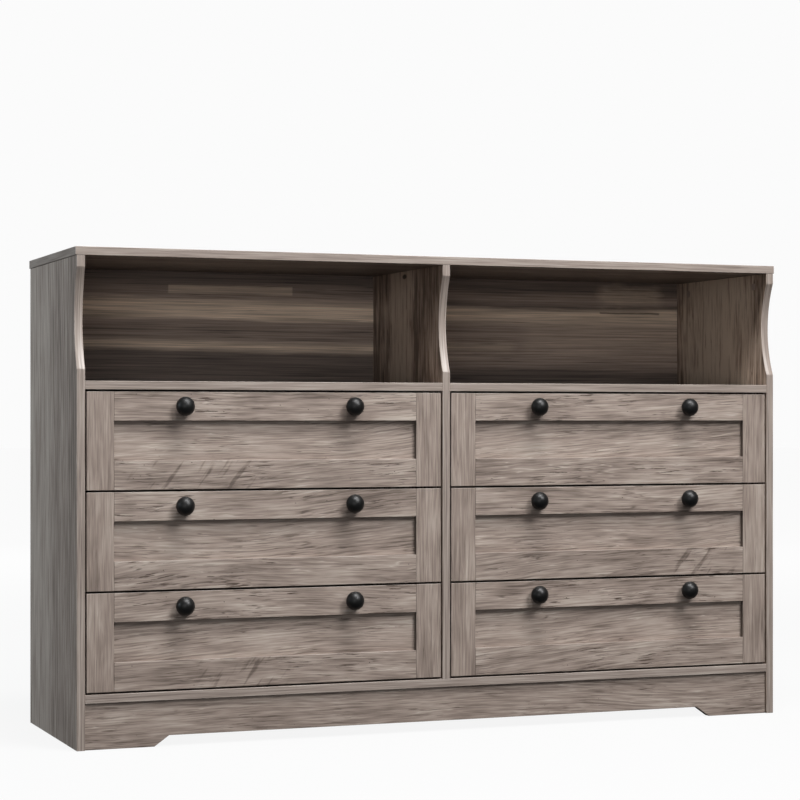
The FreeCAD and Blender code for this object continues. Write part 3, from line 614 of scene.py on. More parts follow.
# Each finish: what makes it, its title and its values.
FINISHES = {
    "sheet": wood_finish("Printed wood, recessed sheets", "sheet", 0.97),
    "upper_rail": wood_finish("Printed wood, upper rails", "rail", 0.91),
    "lower_rail": wood_finish("Printed wood, lower rails", "rail", 0.89, sawn=SAWN_STRETCHES),
    "stile": wood_finish("Printed wood, stiles", "stile", 0.87),
    # Dark tint of painted shade: sides of the front frames in the gaps and at the recess ends, and a dark
    # joint line with its shade at the tops of the uprights.
    "gap_side": wood_finish("Printed wood, inner sides of the frames", "edge", (0.30, 0.285, 0.275)),
    # Darker tint on the top faces of the lower rails: painted shade that holds back the light they catch
    # facing up.
    "ledge": wood_finish("Printed wood, ledges of the frames", "edge", (0.66, 0.64, 0.63)),
    "panel": wood_finish("Printed wood, case boards", "panel", 0.90, roughness=(0.48, 0.60), specular=0.25),
    "outer_side": wood_finish("Printed wood, outer sides", "side", drift=OUTER_SIDE_DRIFT),
    # Partition: the drift darkens its rear corners with painted shade.
    "partition": wood_finish(
        "Printed wood, partition", "upright", (1.06, 1.0, 0.94), drift=PARTITION_DRIFT_AND_CORNER_SHADE, knot=PARTITION_KNOT,
    ),
    # Inner sides of the side panels: the lighter tint than the same boards' outer faces is painted light, and
    # the drift darkens the rear corner with painted shade.
    "bay_side": wood_finish("Printed wood, inner sides", "upright", (1.29, 1.23, 1.14), drift=BAY_SIDE_DRIFT_AND_CORNER_SHADE),
    # Underside of the top: the darker tint and the drift are painted shade, darkest at the rear.
    "underside": wood_finish("Printed wood, underside of the top", "side", 0.74, drift=UNDERSIDE_PAINTED_SHADE),
    "edge": wood_finish(
        "Printed edge band", "edge", (0.91, 0.943, 0.965), roughness=(0.33, 0.43), specular=0.45,
    ),
    "kick": wood_finish("Printed wood, kick plate", "kick", 0.87),
    "box": wood_finish("Papered box board", "box", (1.15, 1.17, 1.2), roughness=(0.6, 0.75)),
    "left_back": back_finish("Printed back, left bay", LEFT_BANDS, LEFT_PATCHES),
    "right_back": back_finish("Printed back, right bay", RIGHT_BANDS, RIGHT_PATCHES),
    "raw": plain_finish(
        "Raw hardboard", "board_raw", (0.86, 1.14), (0.75, 0.9), grit=520.0, cloud=70.0, bump=0.25,
    ),
    "knob": plain_finish("Black lacquer", "knob_black", (1.0, 1.6), (0.36, 0.44), bump=0.05, specular=0.30),
    "zinc": plain_finish("Zinc plate", "zinc", (0.8, 1.0), (0.28, 0.45), metallic=1.0, cloud=90.0),
    "cam": plain_finish("Capped cam", "wood_middle", (1.0, 1.25), (0.45, 0.6), grit=1500.0),
    "box_cam": plain_finish("Box cam", "zinc", (0.45, 0.6), (0.4, 0.55), metallic=1.0),
    "beech": plain_finish("Raw beech", "beech", (1.0, (1.29, 1.355, 1.42)), (0.6, 0.75)),
    "plastic": plain_finish("Moulded plastic", "plastic", (1.0, 1.75), (0.5, 0.65)),
}
FINISH_KEYS = list(FINISHES)


def finish_material(key):
    """Gives a finish, made when it is first asked for."""
    make, title, values = FINISHES[key]
    return bpy.data.materials.get(title) or make(title, bpy.context.scene.dresser_finish, **values)


# Solids read from the frame

def merged(node):
    """Gives a copy of a CAD node's mesh with its doubles merged."""
    bm = bmesh.new()
    bm.from_mesh(frame["nodes"][node].data)
    bmesh.ops.remove_doubles(bm, verts=bm.verts, dist=SAME_PLACE)
    return bm


def solids(node):
    """Gives the points of each separate solid of a CAD node, in a fixed order."""
    bm = merged(node)
    seen = set()
    groups = []
    for first in bm.verts:
        if first in seen:
            continue
        seen.add(first)
        group = [first]
        for vert in group:
            for edge in vert.link_edges:
                other = edge.other_vert(vert)
                if other not in seen:
                    seen.add(other)
                    group.append(other)
        groups.append([vert.co.copy() for vert in group])
    bm.free()
    return sorted(groups, key=lambda points: tuple(round(part, 5) for part in box_round(points)[0]))


def box_round(points):
    """Gives the lowest and highest corner of some points."""
    return tuple(Vector([pick(point[axis] for point in points) for axis in range(3)]) for pick in (min, max))


def solid_boxes(node):
    return [box_round(points) for points in solids(node)]


def odd_axis(size):
    """Gives the axis of a round solid: the one whose two other extents are alike."""
    return min(range(3), key=lambda axis: abs(size[axis - 1] - size[axis - 2]))


def along(axis, sign=1.0):
    return Vector([sign if other == axis else 0.0 for other in range(3)])


def open_way(cam, board):
    """Gives the axis of a cam and the sign of the board's face that it is flush with."""
    axis = odd_axis(cam[1] - cam[0])
    to_high = abs(cam[1][axis] - board[1][axis])
    to_low = abs(cam[0][axis] - board[0][axis])
    return axis, 1.0 if to_high < to_low else -1.0


def is_cam(box):
    """Tells a cam from the slimmer screws and bolts."""
    size = box[1] - box[0]
    return size[odd_axis(size) - 1] > CAM_WIDTH


def holds(box, point):
    return all(box[0][axis] < point[axis] < box[1][axis] for axis in range(3))


def middle_of(box):
    return (box[0] + box[1]) / 2


def grown(box, play):
    """Gives a box that is larger by a play on every side."""
    margin = Vector((play, play, play))
    return box[0] - margin, box[1] + margin


# Boards

def rectangle(low, high, axis):
    """Gives the outline of a box across an axis."""
    a, b = [other for other in range(3) if other != axis]
    return [(low[a], low[b]), (high[a], low[b]), (high[a], high[b]), (low[a], high[b])]


def prism(outline, axis, span):
    """Draws an outline out along an axis, with round stretches shaded smooth."""
    bm = bmesh.new()
    a, b = [other for other in range(3) if other != axis]
    rings = []
    for level in span:
        ring = []
        for point in outline:
            place = Vector()
            place[axis], place[a], place[b] = level, *point
            ring.append(bm.verts.new(place))
        rings.append(ring)
    for ring in rings:
        bm.faces.new(ring)
    for index in range(len(outline)):
        following = (index + 1) % len(outline)
        bm.faces.new((rings[0][index], rings[0][following], rings[1][following], rings[1][index]))
    bmesh.ops.recalc_face_normals(bm, faces=bm.faces)
    for edge in bm.edges:
        if edge.calc_face_angle() < SMOOTH_BELOW:
            for face in edge.link_faces:
                face.smooth = True
    return bm


def ease_edges(bm, width, wear):
    """Rounds the sharp edges of a board over and marks the new faces for a paler band: those that face up by
    their wear, which adds a painted highlight, and the others by wear alone.
    """
    mark = bm.faces.layers.float.new(ARRIS)
    sharp = [edge for edge in bm.edges if edge.calc_face_angle() > SHARP_ABOVE]
    eased = bmesh.ops.bevel(
        bm, geom=sharp, offset=width, offset_type="OFFSET", segments=2, profile=0.5, affect="EDGES",
        clamp_overlap=True,
    )
    for face in eased["faces"]:
        # Faces that look up get the larger share, a painted highlight on top of the wear.
        face[mark] = wear if face.normal.z > UPWARDS else SHADED_WEAR


def as_mesh(bm, name):
    mesh = bpy.data.meshes.new(name)
    bm.to_mesh(mesh)
    bm.free()
    return mesh


def plain_mesh(item):
    """Gives an object's mesh with its modifiers applied."""
    return bpy.data.meshes.new_from_object(item.evaluated_get(bpy.context.evaluated_depsgraph_get()))


def cut_away(mesh, tools):
    """Cuts boxes and round pockets, built in one mesh, out of a board."""
    board = bpy.data.objects.new("board_blank", mesh)
    tool = bpy.data.objects.new("board_tool", as_mesh(tools, "board_tool"))
    for item in (board, tool):
        bpy.context.scene.collection.objects.link(item)
    cut = board.modifiers.new("Pockets", "BOOLEAN")
    cut.operation = "DIFFERENCE"
    cut.solver = "EXACT"
    cut.object = tool
    result = plain_mesh(board)
    for item in (board, tool):
        bpy.data.objects.remove(item)
    return result


def add_box_tool(bm, low, high):
    bmesh.ops.create_cube(bm, size=1.0, matrix=Matrix.LocRotScale(middle_of((low, high)), None, high - low))


def add_pocket_tool(bm, cam, board, play):
    """Adds the pocket of a cam, open at the face of the board that the cam is flush with."""
    low, high = cam[0].copy(), cam[1].copy()
    axis, sign = open_way(cam, board)
    opening = 0.001
    if sign > 0:
        high[axis] += opening
    else:
        low[axis] -= opening
    size = high - low
    radius = size[axis - 1] / 2 + play
    bmesh.ops.create_cone(
        bm, cap_ends=True, segments=40, radius1=radius, radius2=radius, depth=size[axis],
        matrix=Matrix.LocRotScale(middle_of((low, high)), along(axis).to_track_quat("Z", "Y"), None),
    )


def lay_grain(mesh, thickness, grain, print_name):
    """Maps a board in metres from its low corner; boards of one print look alike."""
    draw = random.Random(print_name)
    corner = box_round([vertex.co for vertex in mesh.vertices])[0]
    shift = (draw.uniform(0.0, PRINT_LENGTH), draw.uniform(0.0, PRINT_LENGTH))
    width = next(axis for axis in range(3) if axis not in (thickness, grain))
    ways = {thickness: (grain, width), grain: (width, thickness), width: (grain, thickness)}
    layer = mesh.uv_layers.new(name=GRAIN_MAP)
    for face in mesh.polygons:
        facing = max(range(3), key=lambda axis: abs(face.normal[axis]))
        lengthwise, across = ways[facing]
        apart = FACE_SHIFT * facing + (OPPOSITE_SHIFT if face.normal[facing] > 0 else 0.0)
        for loop in face.loop_indices:
            place = mesh.vertices[mesh.loops[loop].vertex_index].co - corner
            layer.data[loop].uv = (place[lengthwise] + shift[0] + apart, place[across] + shift[1] + apart)


def make_board(
    name, low, high, thickness, grain, shape, outline=None, seats=(), cams=(), print_name=None,
    wear=BOARD_WEAR_AND_HIGHLIGHT,
):
    """Makes one board with eased edges, seats for its sheets, and pockets for those cams that it holds."""
    bm = prism(outline or rectangle(low, high, thickness), thickness, (low[thickness], high[thickness]))
    ease_edges(bm, shape.arris, wear)
    mesh = as_mesh(bm, name)
    tools = bmesh.new()
    for seat in seats:
        add_box_tool(tools, *seat)
    for cam in cams:
        if holds((low, high), middle_of(cam)):
            add_pocket_tool(tools, cam, (low, high), shape.pocket_play)
    if tools.verts:
        mesh = cut_away(mesh, tools)
        mesh.name = name
    lay_grain(mesh, thickness, grain, print_name or name)
    return mesh


def wear_finish(mesh, choose):
    """Gives each face of a mesh the number of the finish that is chosen for it."""
    for face in mesh.polygons:
        face.material_index = FINISH_KEYS.index(choose(face))
    return mesh


def joined(name, meshes):
    """Puts several meshes into one."""
    bm = bmesh.new()
    for mesh in meshes:
        bm.from_mesh(mesh)
    return as_mesh(bm, name)


def add_piece(name, mesh, body, slot, *nodes, finish=None):
    """Puts a mesh in place of CAD nodes of a body, in one finish or in those that its faces wear."""
    if finish:
        wear_finish(mesh, lambda face: finish)
    numbers = [face.material_index for face in mesh.polygons]
    used = sorted(set(numbers))
    mesh.materials.clear()
    for finish_number in used:
        mesh.materials.append(finish_material(FINISH_KEYS[finish_number]))
    mesh.polygons.foreach_set("material_index", [used.index(finish_number) for finish_number in numbers])
    piece = bpy.data.objects.new(name, mesh)
    bpy.context.scene.collection.objects.link(piece)
    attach(piece, body)
    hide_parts(*nodes)


def arched_outline(low, high, shape):
    """Gives the side view of an upright whose front edge is cut in by an arc beside the open bays."""
    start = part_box("left_hutch_deck")[1].z + shape.arc_flat
    stop = high.z - shape.arc_flat
    half = (stop - start) / 2
    radius = (half**2 + shape.arc_depth**2) / (2 * shape.arc_depth)
    sweep = math.asin(half / radius)
    centre_y = low.y + shape.arc_depth - radius
    arc = []
    for step in range(shape.arc_steps + 1):
        angle = sweep * (2 * step / shape.arc_steps - 1)
        arc.append((centre_y + radius * math.cos(angle), start + half + radius * math.sin(angle)))
    return [(low.y, low.z), *arc, (low.y, high.z), (high.y, high.z), (high.y, low.z)]


def kick_outline(low, high, shape):
    """Gives the front view of the kick plate with its cut-out at the floor."""
    near = low.x + shape.cutout_margin
    far = high.x - shape.cutout_margin
    top = low.z + shape.cutout_height
    slope = shape.cutout_slope
    cutout = [(near, low.z), (near + slope, top), (far - slope, top), (far, low.z)]
    return [(low.x, low.z), *cutout, (high.x, low.z), (high.x, high.z), (low.x, high.z)]


class DRESSER_OT_case_boards(bpy.types.Operator):
    """Builds the boards of the case, with their arcs, grooves and cam pockets"""
    bl_idname = "dresser.case_boards"
    bl_label = "Case boards"

    def execute(self, context):
        shape = context.scene.dresser_shape
        cams = solid_boxes("cam_locks")
        outlines = dict.fromkeys(UPRIGHTS, arched_outline) | {"kick_plate": kick_outline}
        for node, (thickness, grain, finish) in CASE_BOARDS.items():
            low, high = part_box(node)
            outline = outlines[node](low, high, shape) if node in outlines else None
            seats = [grown(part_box(sheet), shape.sheet_play) for sheet in SHEETS_HELD.get(node, ())]
            top_arris = high.z - 1.1 * shape.arris

            def choose(face):
                # The eased top edges of the uprights take the dark tint: a painted dark joint line with its
                # shade under the top panel.
                if node in UPRIGHTS and face.center.z > top_arris:
                    return "gap_side"
                # The underside of the top takes its painted shade.
                if node == "top_panel" and face.normal.z < -FACING:
                    return "underside"
                if node in OUTER_FACES and face.normal.x * OUTER_FACES[node] > FACING:
                    return "outer_side"
                return finish if abs(face.normal[thickness]) > FACING else "edge"

            name = f"{node}_board"
            mesh = make_board(name, low, high, thickness, grain, shape, outline, seats, cams)
            add_piece(name, wear_finish(mesh, choose), CASE, "laminate", node)
        return {"FINISHED"}


class DRESSER_OT_back_sheets(bpy.types.Operator):
    """Builds the two back sheets, printed inside and raw behind"""
    bl_idname = "dresser.back_sheets"
    bl_label = "Back sheets"

    def execute(self, context):
        for node in BACK_SHEETS:
            name = f"{node}_board"
            mesh = make_board(name, *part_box(node), Y, X, context.scene.dresser_shape)
            printed = node.replace("_sheet", "")
            wear_finish(mesh, lambda face: printed if face.normal.y < -FACING else "raw")
            add_piece(name, mesh, CASE, "back_sheet", node)
        return {"FINISHED"}


def bar_finish(part, normal):
    """Gives the finish of a face of a front's bar; sides in the gaps and at the recess ends take a dark tint
    that is painted shade, and the lower rail's top face a darker tint of painted shade.
    """
    if part.endswith("stile"):
        return "gap_side" if abs(normal.y) < EDGE_ON else "stile"
    if (normal.z if part == "upper_rail" else -normal.z) > SQUARELY:
        return "gap_side"
    return "ledge" if part == "lower_rail" and normal.z > SQUARELY else part


class DRESSER_OT_drawer_fronts(bpy.types.Operator):
    """Builds the shaker fronts: two stiles, two rails and the recessed sheet of each drawer"""
    bl_idname = "dresser.drawer_fronts"
    bl_label = "Drawer fronts"

    def execute(self, context):
        shape = context.scene.dresser_shape
        seam = shape.seam
        for drawer in DRAWERS:
            low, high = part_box(f"{drawer}_front_frame")
            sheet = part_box(f"{drawer}_front_sheet")
            rebate = grown(sheet, shape.sheet_play)
            rebate[0].y = sheet[0].y
            (left, _, lower), (right, _, upper) = grown(sheet, -shape.sheet_lap)
            bars = {
                "left_stile": ((low.x, low.z), (left, high.z), Z),
                "right_stile": ((right, low.z), (high.x, high.z), Z),
                "lower_rail": ((left + seam, low.z), (right - seam, lower), X),
                "upper_rail": ((left + seam, upper), (right - seam, high.z), X),
            }
            meshes = []
            for part, (near, far, grain) in bars.items():
                ends = Vector((near[0], low.y, near[1])), Vector((far[0], high.y, far[1]))
                name = f"{drawer}_{part}"
                mesh = make_board(name, *ends, Y, grain, shape, seats=[rebate], wear=FRONT_WEAR_AND_HIGHLIGHT)
                meshes.append(wear_finish(mesh, lambda face: bar_finish(part, face.normal)))
            name = f"{drawer}_shaker_frame"
            add_piece(name, joined(name, meshes), drawer, "laminate", f"{drawer}_front_frame")
            name = f"{drawer}_recessed_sheet"
            mesh = make_board(name, *sheet, Y, X, shape)
            add_piece(name, mesh, drawer, "laminate", f"{drawer}_front_sheet", finish="sheet")
        return {"FINISHED"}


class DRESSER_OT_drawer_boxes(bpy.types.Operator):
    """Builds the walls and the bottom of each drawer box"""
    bl_idname = "dresser.drawer_boxes"
    bl_label = "Drawer boxes"

    def execute(self, context):
        shape = context.scene.dresser_shape
        for drawer in DRAWERS:
            low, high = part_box(f"{drawer}_box_walls")
            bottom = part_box(f"{drawer}_box_bottom")
            groove = grown(bottom, shape.sheet_play)
            left, right = low.x + shape.box_wall, high.x - shape.box_wall
            rear_low = Vector((left, high.y - shape.box_wall, bottom[1].z))
            cams = [box for box in solid_boxes(f"{drawer}_fixings") if is_cam(box)]
            walls = {
                "left_wall": (low, Vector((left, high.y, high.z)), X, Y, [groove]),
                "right_wall": (Vector((right, low.y, low.z)), high, X, Y, [groove]),
                "rear_wall": (rear_low, Vector((right, high.y, high.z)), Y, X, []),
            }
            meshes = []
            for part, (*place, seats) in walls.items():
                name = f"{drawer}_{part}"
                meshes.append(make_board(name, *place, shape, seats=seats, cams=cams, print_name=part))
            name = f"{drawer}_box"
            add_piece(name, joined(name, meshes), drawer, "box_board", f"{drawer}_box_walls", finish="box")
            name = f"{drawer}_box_floor"
            mesh = make_board(name, *bottom, Z, X, shape, print_name="box_floor")
            add_piece(name, mesh, drawer, "back_sheet", f"{drawer}_box_bottom", finish="box")
        return {"FINISHED"}


# Turned knobs and screws

def seat_mesh(seats):
    """Makes loose points for nodes to set things on; each seat maps attribute names to values."""
    mesh = bpy.data.meshes.new("seats")
    mesh.from_pydata([seat["place"] for seat in seats], [], [])
    for name, sample in seats[0].items():
        if name == "place":
            continue
        many = isinstance(sample, Vector)
        layer = mesh.attributes.new(name, "FLOAT_VECTOR" if many else "FLOAT", "POINT")
        for item, seat in zip(layer.data, seats):
            setattr(item, "vector" if many else "value", seat[name])
    return mesh


def run_nodes(tree, seats, values):
    """Runs a geometry tree on seats and gives the result as a plain mesh that faces outwards."""
    holder = bpy.data.objects.new("seats", seat_mesh(seats))
    bpy.context.scene.collection.objects.link(holder)
    modifier = holder.modifiers.new("Nodes", "NODES")
    modifier.node_group = tree
    for socket in tree.interface.items_tree:
        if socket.in_out == "INPUT" and socket.name in values:
            modifier[socket.identifier] = values[socket.name]
    mesh = plain_mesh(holder)
    holder.modifiers.remove(modifier)
    bpy.data.objects.remove(holder)
    bm = bmesh.new()
    bm.from_mesh(mesh)
    bmesh.ops.recalc_face_normals(bm, faces=bm.faces)
    bm.to_mesh(mesh)
    bm.free()
    return mesh


def seat_value(tree, name, kind="FLOAT"):
    """Adds a value that each seat carries."""
    return add(tree, "GeometryNodeInputNamedAttribute", {"Name": name}, data_type=kind).outputs["Attribute"]


def seat_way(tree):
    """Adds the turn that points a thing's height the way its seat aims."""
    inputs = {"Vector": seat_value(tree, "aim", "FLOAT_VECTOR")}
    return add(tree, "FunctionNodeAlignRotationToVector", inputs, axis="Z").outputs[0]


def shape_curve(value, points):
    """Adds a curve with straight runs through evenly spaced points from 0 to 1."""
    node = add(value.tree, "ShaderNodeFloatCurve", {"Value": value})
    curve = node.mapping.curves[0]
    while len(curve.points) < len(points):
        curve.points.new(0.5, 0.5)
    for index, level in enumerate(points):
        curve.points[index].location = (index / (len(points) - 1), level)
        curve.points[index].handle_type = "VECTOR"
    node.mapping.update()
    return Value(node.outputs[0])


def knob_section(shape, radius, reach):
    """Gives a knob's section from the middle of its base to its tip: radii and heights."""
    flare_runs, dome_runs = 12, 16
    rim = shape.knob_rim_reach
    neck, base = shape.knob_neck / 2, shape.knob_base / 2
    rise = reach - rim
    dome = (radius**2 + rise**2) / (2 * rise)
    dome_sweep = math.asin(radius / dome)
    step = radius - neck
    run = rim - shape.knob_neck_reach
    flare = (step**2 + run**2) / (2 * step)
    flare_sweep = math.asin(run / flare)
    shoulder = shape.knob_base_reach
    section = [(0.0, 0.0), (base, 0.0), (base, shoulder), (neck, shoulder + base - neck)]
    for part in range(flare_runs):
        angle = flare_sweep * (1 - part / flare_runs)
        section.append((radius - flare + flare * math.cos(angle), rim - flare * math.sin(angle)))
    for part in range(dome_runs + 1):
        angle = dome_sweep * (1 - part / dome_runs)
        section.append((dome * math.sin(angle), reach - dome + dome * math.cos(angle)))
    return section


def geometry_group(name, inputs):
    """Starts a geometry tree that works on seats and gives its result a finish."""
    inputs = {"Geometry": ("Geometry", None)} | inputs | {"Finish": ("Material", None)}
    return group_tree(name, inputs, {"Geometry": "Geometry"}, "GeometryNodeTree")


def finish_tree(copies, given, result):
    """Ends a geometry tree: instances become real and take their finish."""
    tree = copies.id_data
    real = add(tree, "GeometryNodeRealizeInstances", {"Geometry": copies}).outputs[0]
    done = add(tree, "GeometryNodeSetMaterial", {"Geometry": real, "Material": given["Finish"]}).outputs[0]
    plug(result, {"Geometry": done})
    return tree


def knob_tree(section, radius, reach):
    """Builds the tree that turns a knob from its section and sets it on every seat."""
    inputs = {"Diameter": ("Float", 2 * radius), "Reach": ("Float", reach), "Sides": ("Int", 48)}
    tree, given, result = geometry_group("Turned knob", inputs)
    rings = 2 * (len(section) - 1) + 1
    sizes = {"Size X": 1.0, "Size Y": 1.0, "Vertices X": rings, "Vertices Y": Value(given["Sides"]) + 1.0}
    grid = add(tree, "GeometryNodeMeshGrid", sizes).outputs["Mesh"]
    place = split(add(tree, "GeometryNodeInputPosition").outputs[0])
    run = place["X"] + 0.5
    angle = (place["Y"] + 0.5) * math.tau
    away = shape_curve(run, [point[0] / radius for point in section]) * (Value(given["Diameter"]) * 0.5)
    high = shape_curve(run, [point[1] / reach for point in section]) * given["Reach"]
    round_place = combine(tree, X=away * angle.calc("COSINE"), Y=away * angle.calc("SINE"), Z=high)
    knob = add(tree, "GeometryNodeSetPosition", {"Geometry": grid, "Position": round_place}).outputs[0]
    knob = add(tree, "GeometryNodeMergeByDistance", {"Geometry": knob, "Distance": 1e-5}).outputs[0]
    knob = add(tree, "GeometryNodeSetShadeSmooth", {"Geometry": knob}).outputs[0]
    inputs = {"Points": given["Geometry"], "Instance": knob, "Rotation": seat_way(tree)}
    return finish_tree(add(tree, "GeometryNodeInstanceOnPoints", inputs).outputs[0], given, result)


def lowered(mesh, drop):
    inputs = {"Geometry": mesh, "Translation": (0.0, 0.0, -drop)}
    return add(mesh.id_data, "GeometryNodeTransform", inputs).outputs[0]


@built_once("Cross-head screw")
def screw_tree(name):
    """Builds the tree that sets a cross-head screw on every seat, sized by the seat's own values."""
    sizes = {"Crown": 0.74, "Cross length": 0.60, "Cross width": 0.15, "Cross depth": 0.60}
    inputs = {label: ("Float", size) for label, size in sizes.items()} | {"Seed": ("Int", 7)}
    tree, given, result = geometry_group(name, inputs)
    crown = Value(given["Crown"]) * 0.5
    inputs = {"Vertices": 18, "Radius Top": crown, "Radius Bottom": 0.5, "Depth": 1.0}
    head = lowered(add(tree, "GeometryNodeMeshCone", inputs).outputs["Mesh"], 1.0)
    driven = add(tree, "GeometryNodeMeshBoolean", {"Mesh 1": head}, operation="DIFFERENCE", solver="EXACT")
    depth = Value(given["Cross depth"]) * 2.0
    for ways in (("Cross length", "Cross width"), ("Cross width", "Cross length")):
        size = combine(tree, X=given[ways[0]], Y=given[ways[1]], Z=depth)
        plug(driven.inputs, {"Mesh 2": add(tree, "GeometryNodeMeshCube", {"Size": size}).outputs["Mesh"]})
    rod = add(tree, "GeometryNodeMeshCylinder", {"Vertices": 12, "Radius": 0.5, "Depth": 1.0})
    shank = lowered(rod.outputs["Mesh"], 0.5)
    angle = add(tree, "FunctionNodeRandomValue", {"Seed": given["Seed"]}, data_type="FLOAT")
    limits = [socket for socket in angle.inputs if socket.type == "VALUE"]
    limits[0].default_value, limits[1].default_value = 0.0, math.pi / 2
    drawn = next(socket for socket in angle.outputs if socket.type == "VALUE")
    inputs = {"Axis": (0.0, 0.0, 1.0), "Angle": drawn}
    twist = add(tree, "FunctionNodeAxisAngleToRotation", inputs).outputs[0]
    inputs = {"Rotation": seat_way(tree), "Rotate By": twist}
    spun = add(tree, "FunctionNodeRotateRotation", inputs, rotation_space="LOCAL").outputs[0]
    both = tree.nodes.new("GeometryNodeJoinGeometry")
    for part, across, tall in ((shank, "shank", "reach"), (driven.outputs["Mesh"], "head", "height")):
        wide = seat_value(tree, across)
        size = combine(tree, X=wide, Y=wide, Z=seat_value(tree, tall))
        inputs = {"Points": given["Geometry"], "Instance": part, "Rotation": spun, "Scale": size}
        plug(both.inputs, {0: add(tree, "GeometryNodeInstanceOnPoints", inputs).outputs[0]})
    return finish_tree(both.outputs[0], given, result)


def read_screw(points):
    """Gives the seat of a screw and its sizes from the points of its CAD solid."""
    low, high = box_round(points)
    axis = max(range(3), key=lambda way: high[way] - low[way])
    middle = middle_of((low, high))
    end_play, sunk = 0.0001, 0.00002

    def away(point):
        offset = point - middle
        offset[axis] = 0.0
        return offset.length

    head = max(away(point) for point in points)
    rim = [point[axis] for point in points if away(point) > 0.95 * head]
    sign = 1.0 if sum(rim) / len(rim) > middle[axis] else -1.0
    tip, top = (low[axis], high[axis]) if sign > 0 else (high[axis], low[axis])
    shank = max(away(point) for point in points if abs(point[axis] - tip) < end_play)
    middle[axis] = top
    return {
        "place": middle,
        "aim": along(axis, sign),
        "head": 2 * head,
        "height": max(rim) - min(rim),
        "shank": 2 * shank,
        "reach": high[axis] - low[axis] - sunk,
    }


def screws_mesh(groups):
    """Makes cross-head screws in place of the CAD screws."""
    seats = [read_screw(points) for points in groups]
    return run_nodes(screw_tree(), seats, {"Finish": finish_material("zinc")})


def kind_of(points):
    """Tells a drawer's cams, screws and bolts apart."""
    if is_cam(box_round(points)):
        return "cam"
    screw = read_screw(points)
    return "screw" if screw["head"] > SCREW_HEAD * screw["shank"] else "bolt"


def solids_mesh(name, node, kind):
    """Copies the solids of one kind from a CAD node."""
    bm = merged(node)
    boxes = [grown(box_round(points), 1e-5) for points in solids(node) if kind_of(points) == kind]
    outside = [vert for vert in bm.verts if not any(holds(box, vert.co) for box in boxes)]
    bmesh.ops.delete(bm, geom=outside, context="VERTS")
    return as_mesh(bm, name)


class DRESSER_OT_knobs(bpy.types.Operator):
    """Turns the knobs from one section and sets two on each drawer"""
    bl_idname = "dresser.knobs"
    bl_label = "Knobs"

    def execute(self, context):
        shape = context.scene.dresser_shape
        low, high = solid_boxes(f"{DRAWERS[0]}_knobs")[0]
        radius, reach = (high - low).z / 2, (high - low).y
        tree = knob_tree(knob_section(shape, radius, reach), radius, reach)
        values = {"Diameter": 2 * radius, "Reach": reach, "Sides": shape.knob_sides}
        values["Finish"] = finish_material("knob")
        for drawer in DRAWERS:
            node = f"{drawer}_knobs"
            seats = []
            for box in solid_boxes(node):
                place = middle_of(box)
                place.y = box[1].y
                seats.append({"place": place, "aim": along(Y, -1.0)})
            mesh = run_nodes(tree, seats, values)
            add_piece(f"{drawer}_turned_knobs", mesh, drawer, "black_knob", node, finish="knob")
        return {"FINISHED"}


class DRESSER_OT_screws(bpy.types.Operator):
    """Sets cross-head screws in the case and the drawers, with the drawers' cams and bolts"""
    bl_idname = "dresser.screws"
    bl_label = "Screws"

    def execute(self, context):
        for node in ("back_screws", "runner_screws"):
            mesh = screws_mesh(solids(node))
            add_piece(f"{node}_cross_head", mesh, CASE, "zinc_screws", node, finish="zinc")
        for drawer in DRAWERS:
            node = f"{drawer}_fixings"
            name = f"{drawer}_fasteners"
            kinds = {
                "screw": screws_mesh([points for points in solids(node) if kind_of(points) == "screw"]),
                "bolt": solids_mesh(name, node, "bolt"),
                "cam": solids_mesh(name, node, "cam"),
            }
            for kind, mesh in kinds.items():
                wear_finish(mesh, lambda face: "box_cam" if kind == "cam" else "zinc")
            add_piece(name, joined(name, kinds.values()), drawer, "zinc_screws", node)
        return {"FINISHED"}


class DRESSER_OT_hardware(bpy.types.Operator):
    """Finishes the runners, the hidden fasteners of the case and the centre foot"""
    bl_idname = "dresser.hardware"
    bl_label = "Hardware"

    def execute(self, context):
        finishes = {f"{drawer}_runners": "zinc" for drawer in DRAWERS}
        finishes |= {"cabinet_runners": "zinc", "cam_bolts": "zinc", "cam_locks": "cam"}
        finishes |= {"dowels": "beech", "centre_foot": "plastic"}
        for node, finish in finishes.items():
            for slot in frame["nodes"][node].material_slots:
                slot.material = finish_material(finish)
        return {"FINISHED"}


# Stage

# Each soft light: its size, place and tint.
LIGHTS = {
    "key": ((2.2, 2.2), (1.85, -4.2, 4.4), WHITE),
    "top": ((2.4, 0.9), (0.2, -1.4, 4.2), WHITE),
    "side": ((2.5, 2.5), (-4.6, 0.8, 1.6), (0.80, 0.92, 1.0)),
    "fill": ((3.0, 2.0), (-2.5, -5.0, 1.0), WHITE),
    "rear": ((2.5, 2.5), (1.5, 5.0, 2.5), WHITE),
}
LIGHT_TARGET = Vector((0.0, 0.0, 0.45))
FLOOR_RADIUS = 40.0
FLOOR_DROP = 0.0004
# The glow of the floor goes over to that of its far part between these reaches.
GLOW_REACH = (1.5, 6.0)
FAR_GLOW = 0.95
SKY_SEEN = 0.965


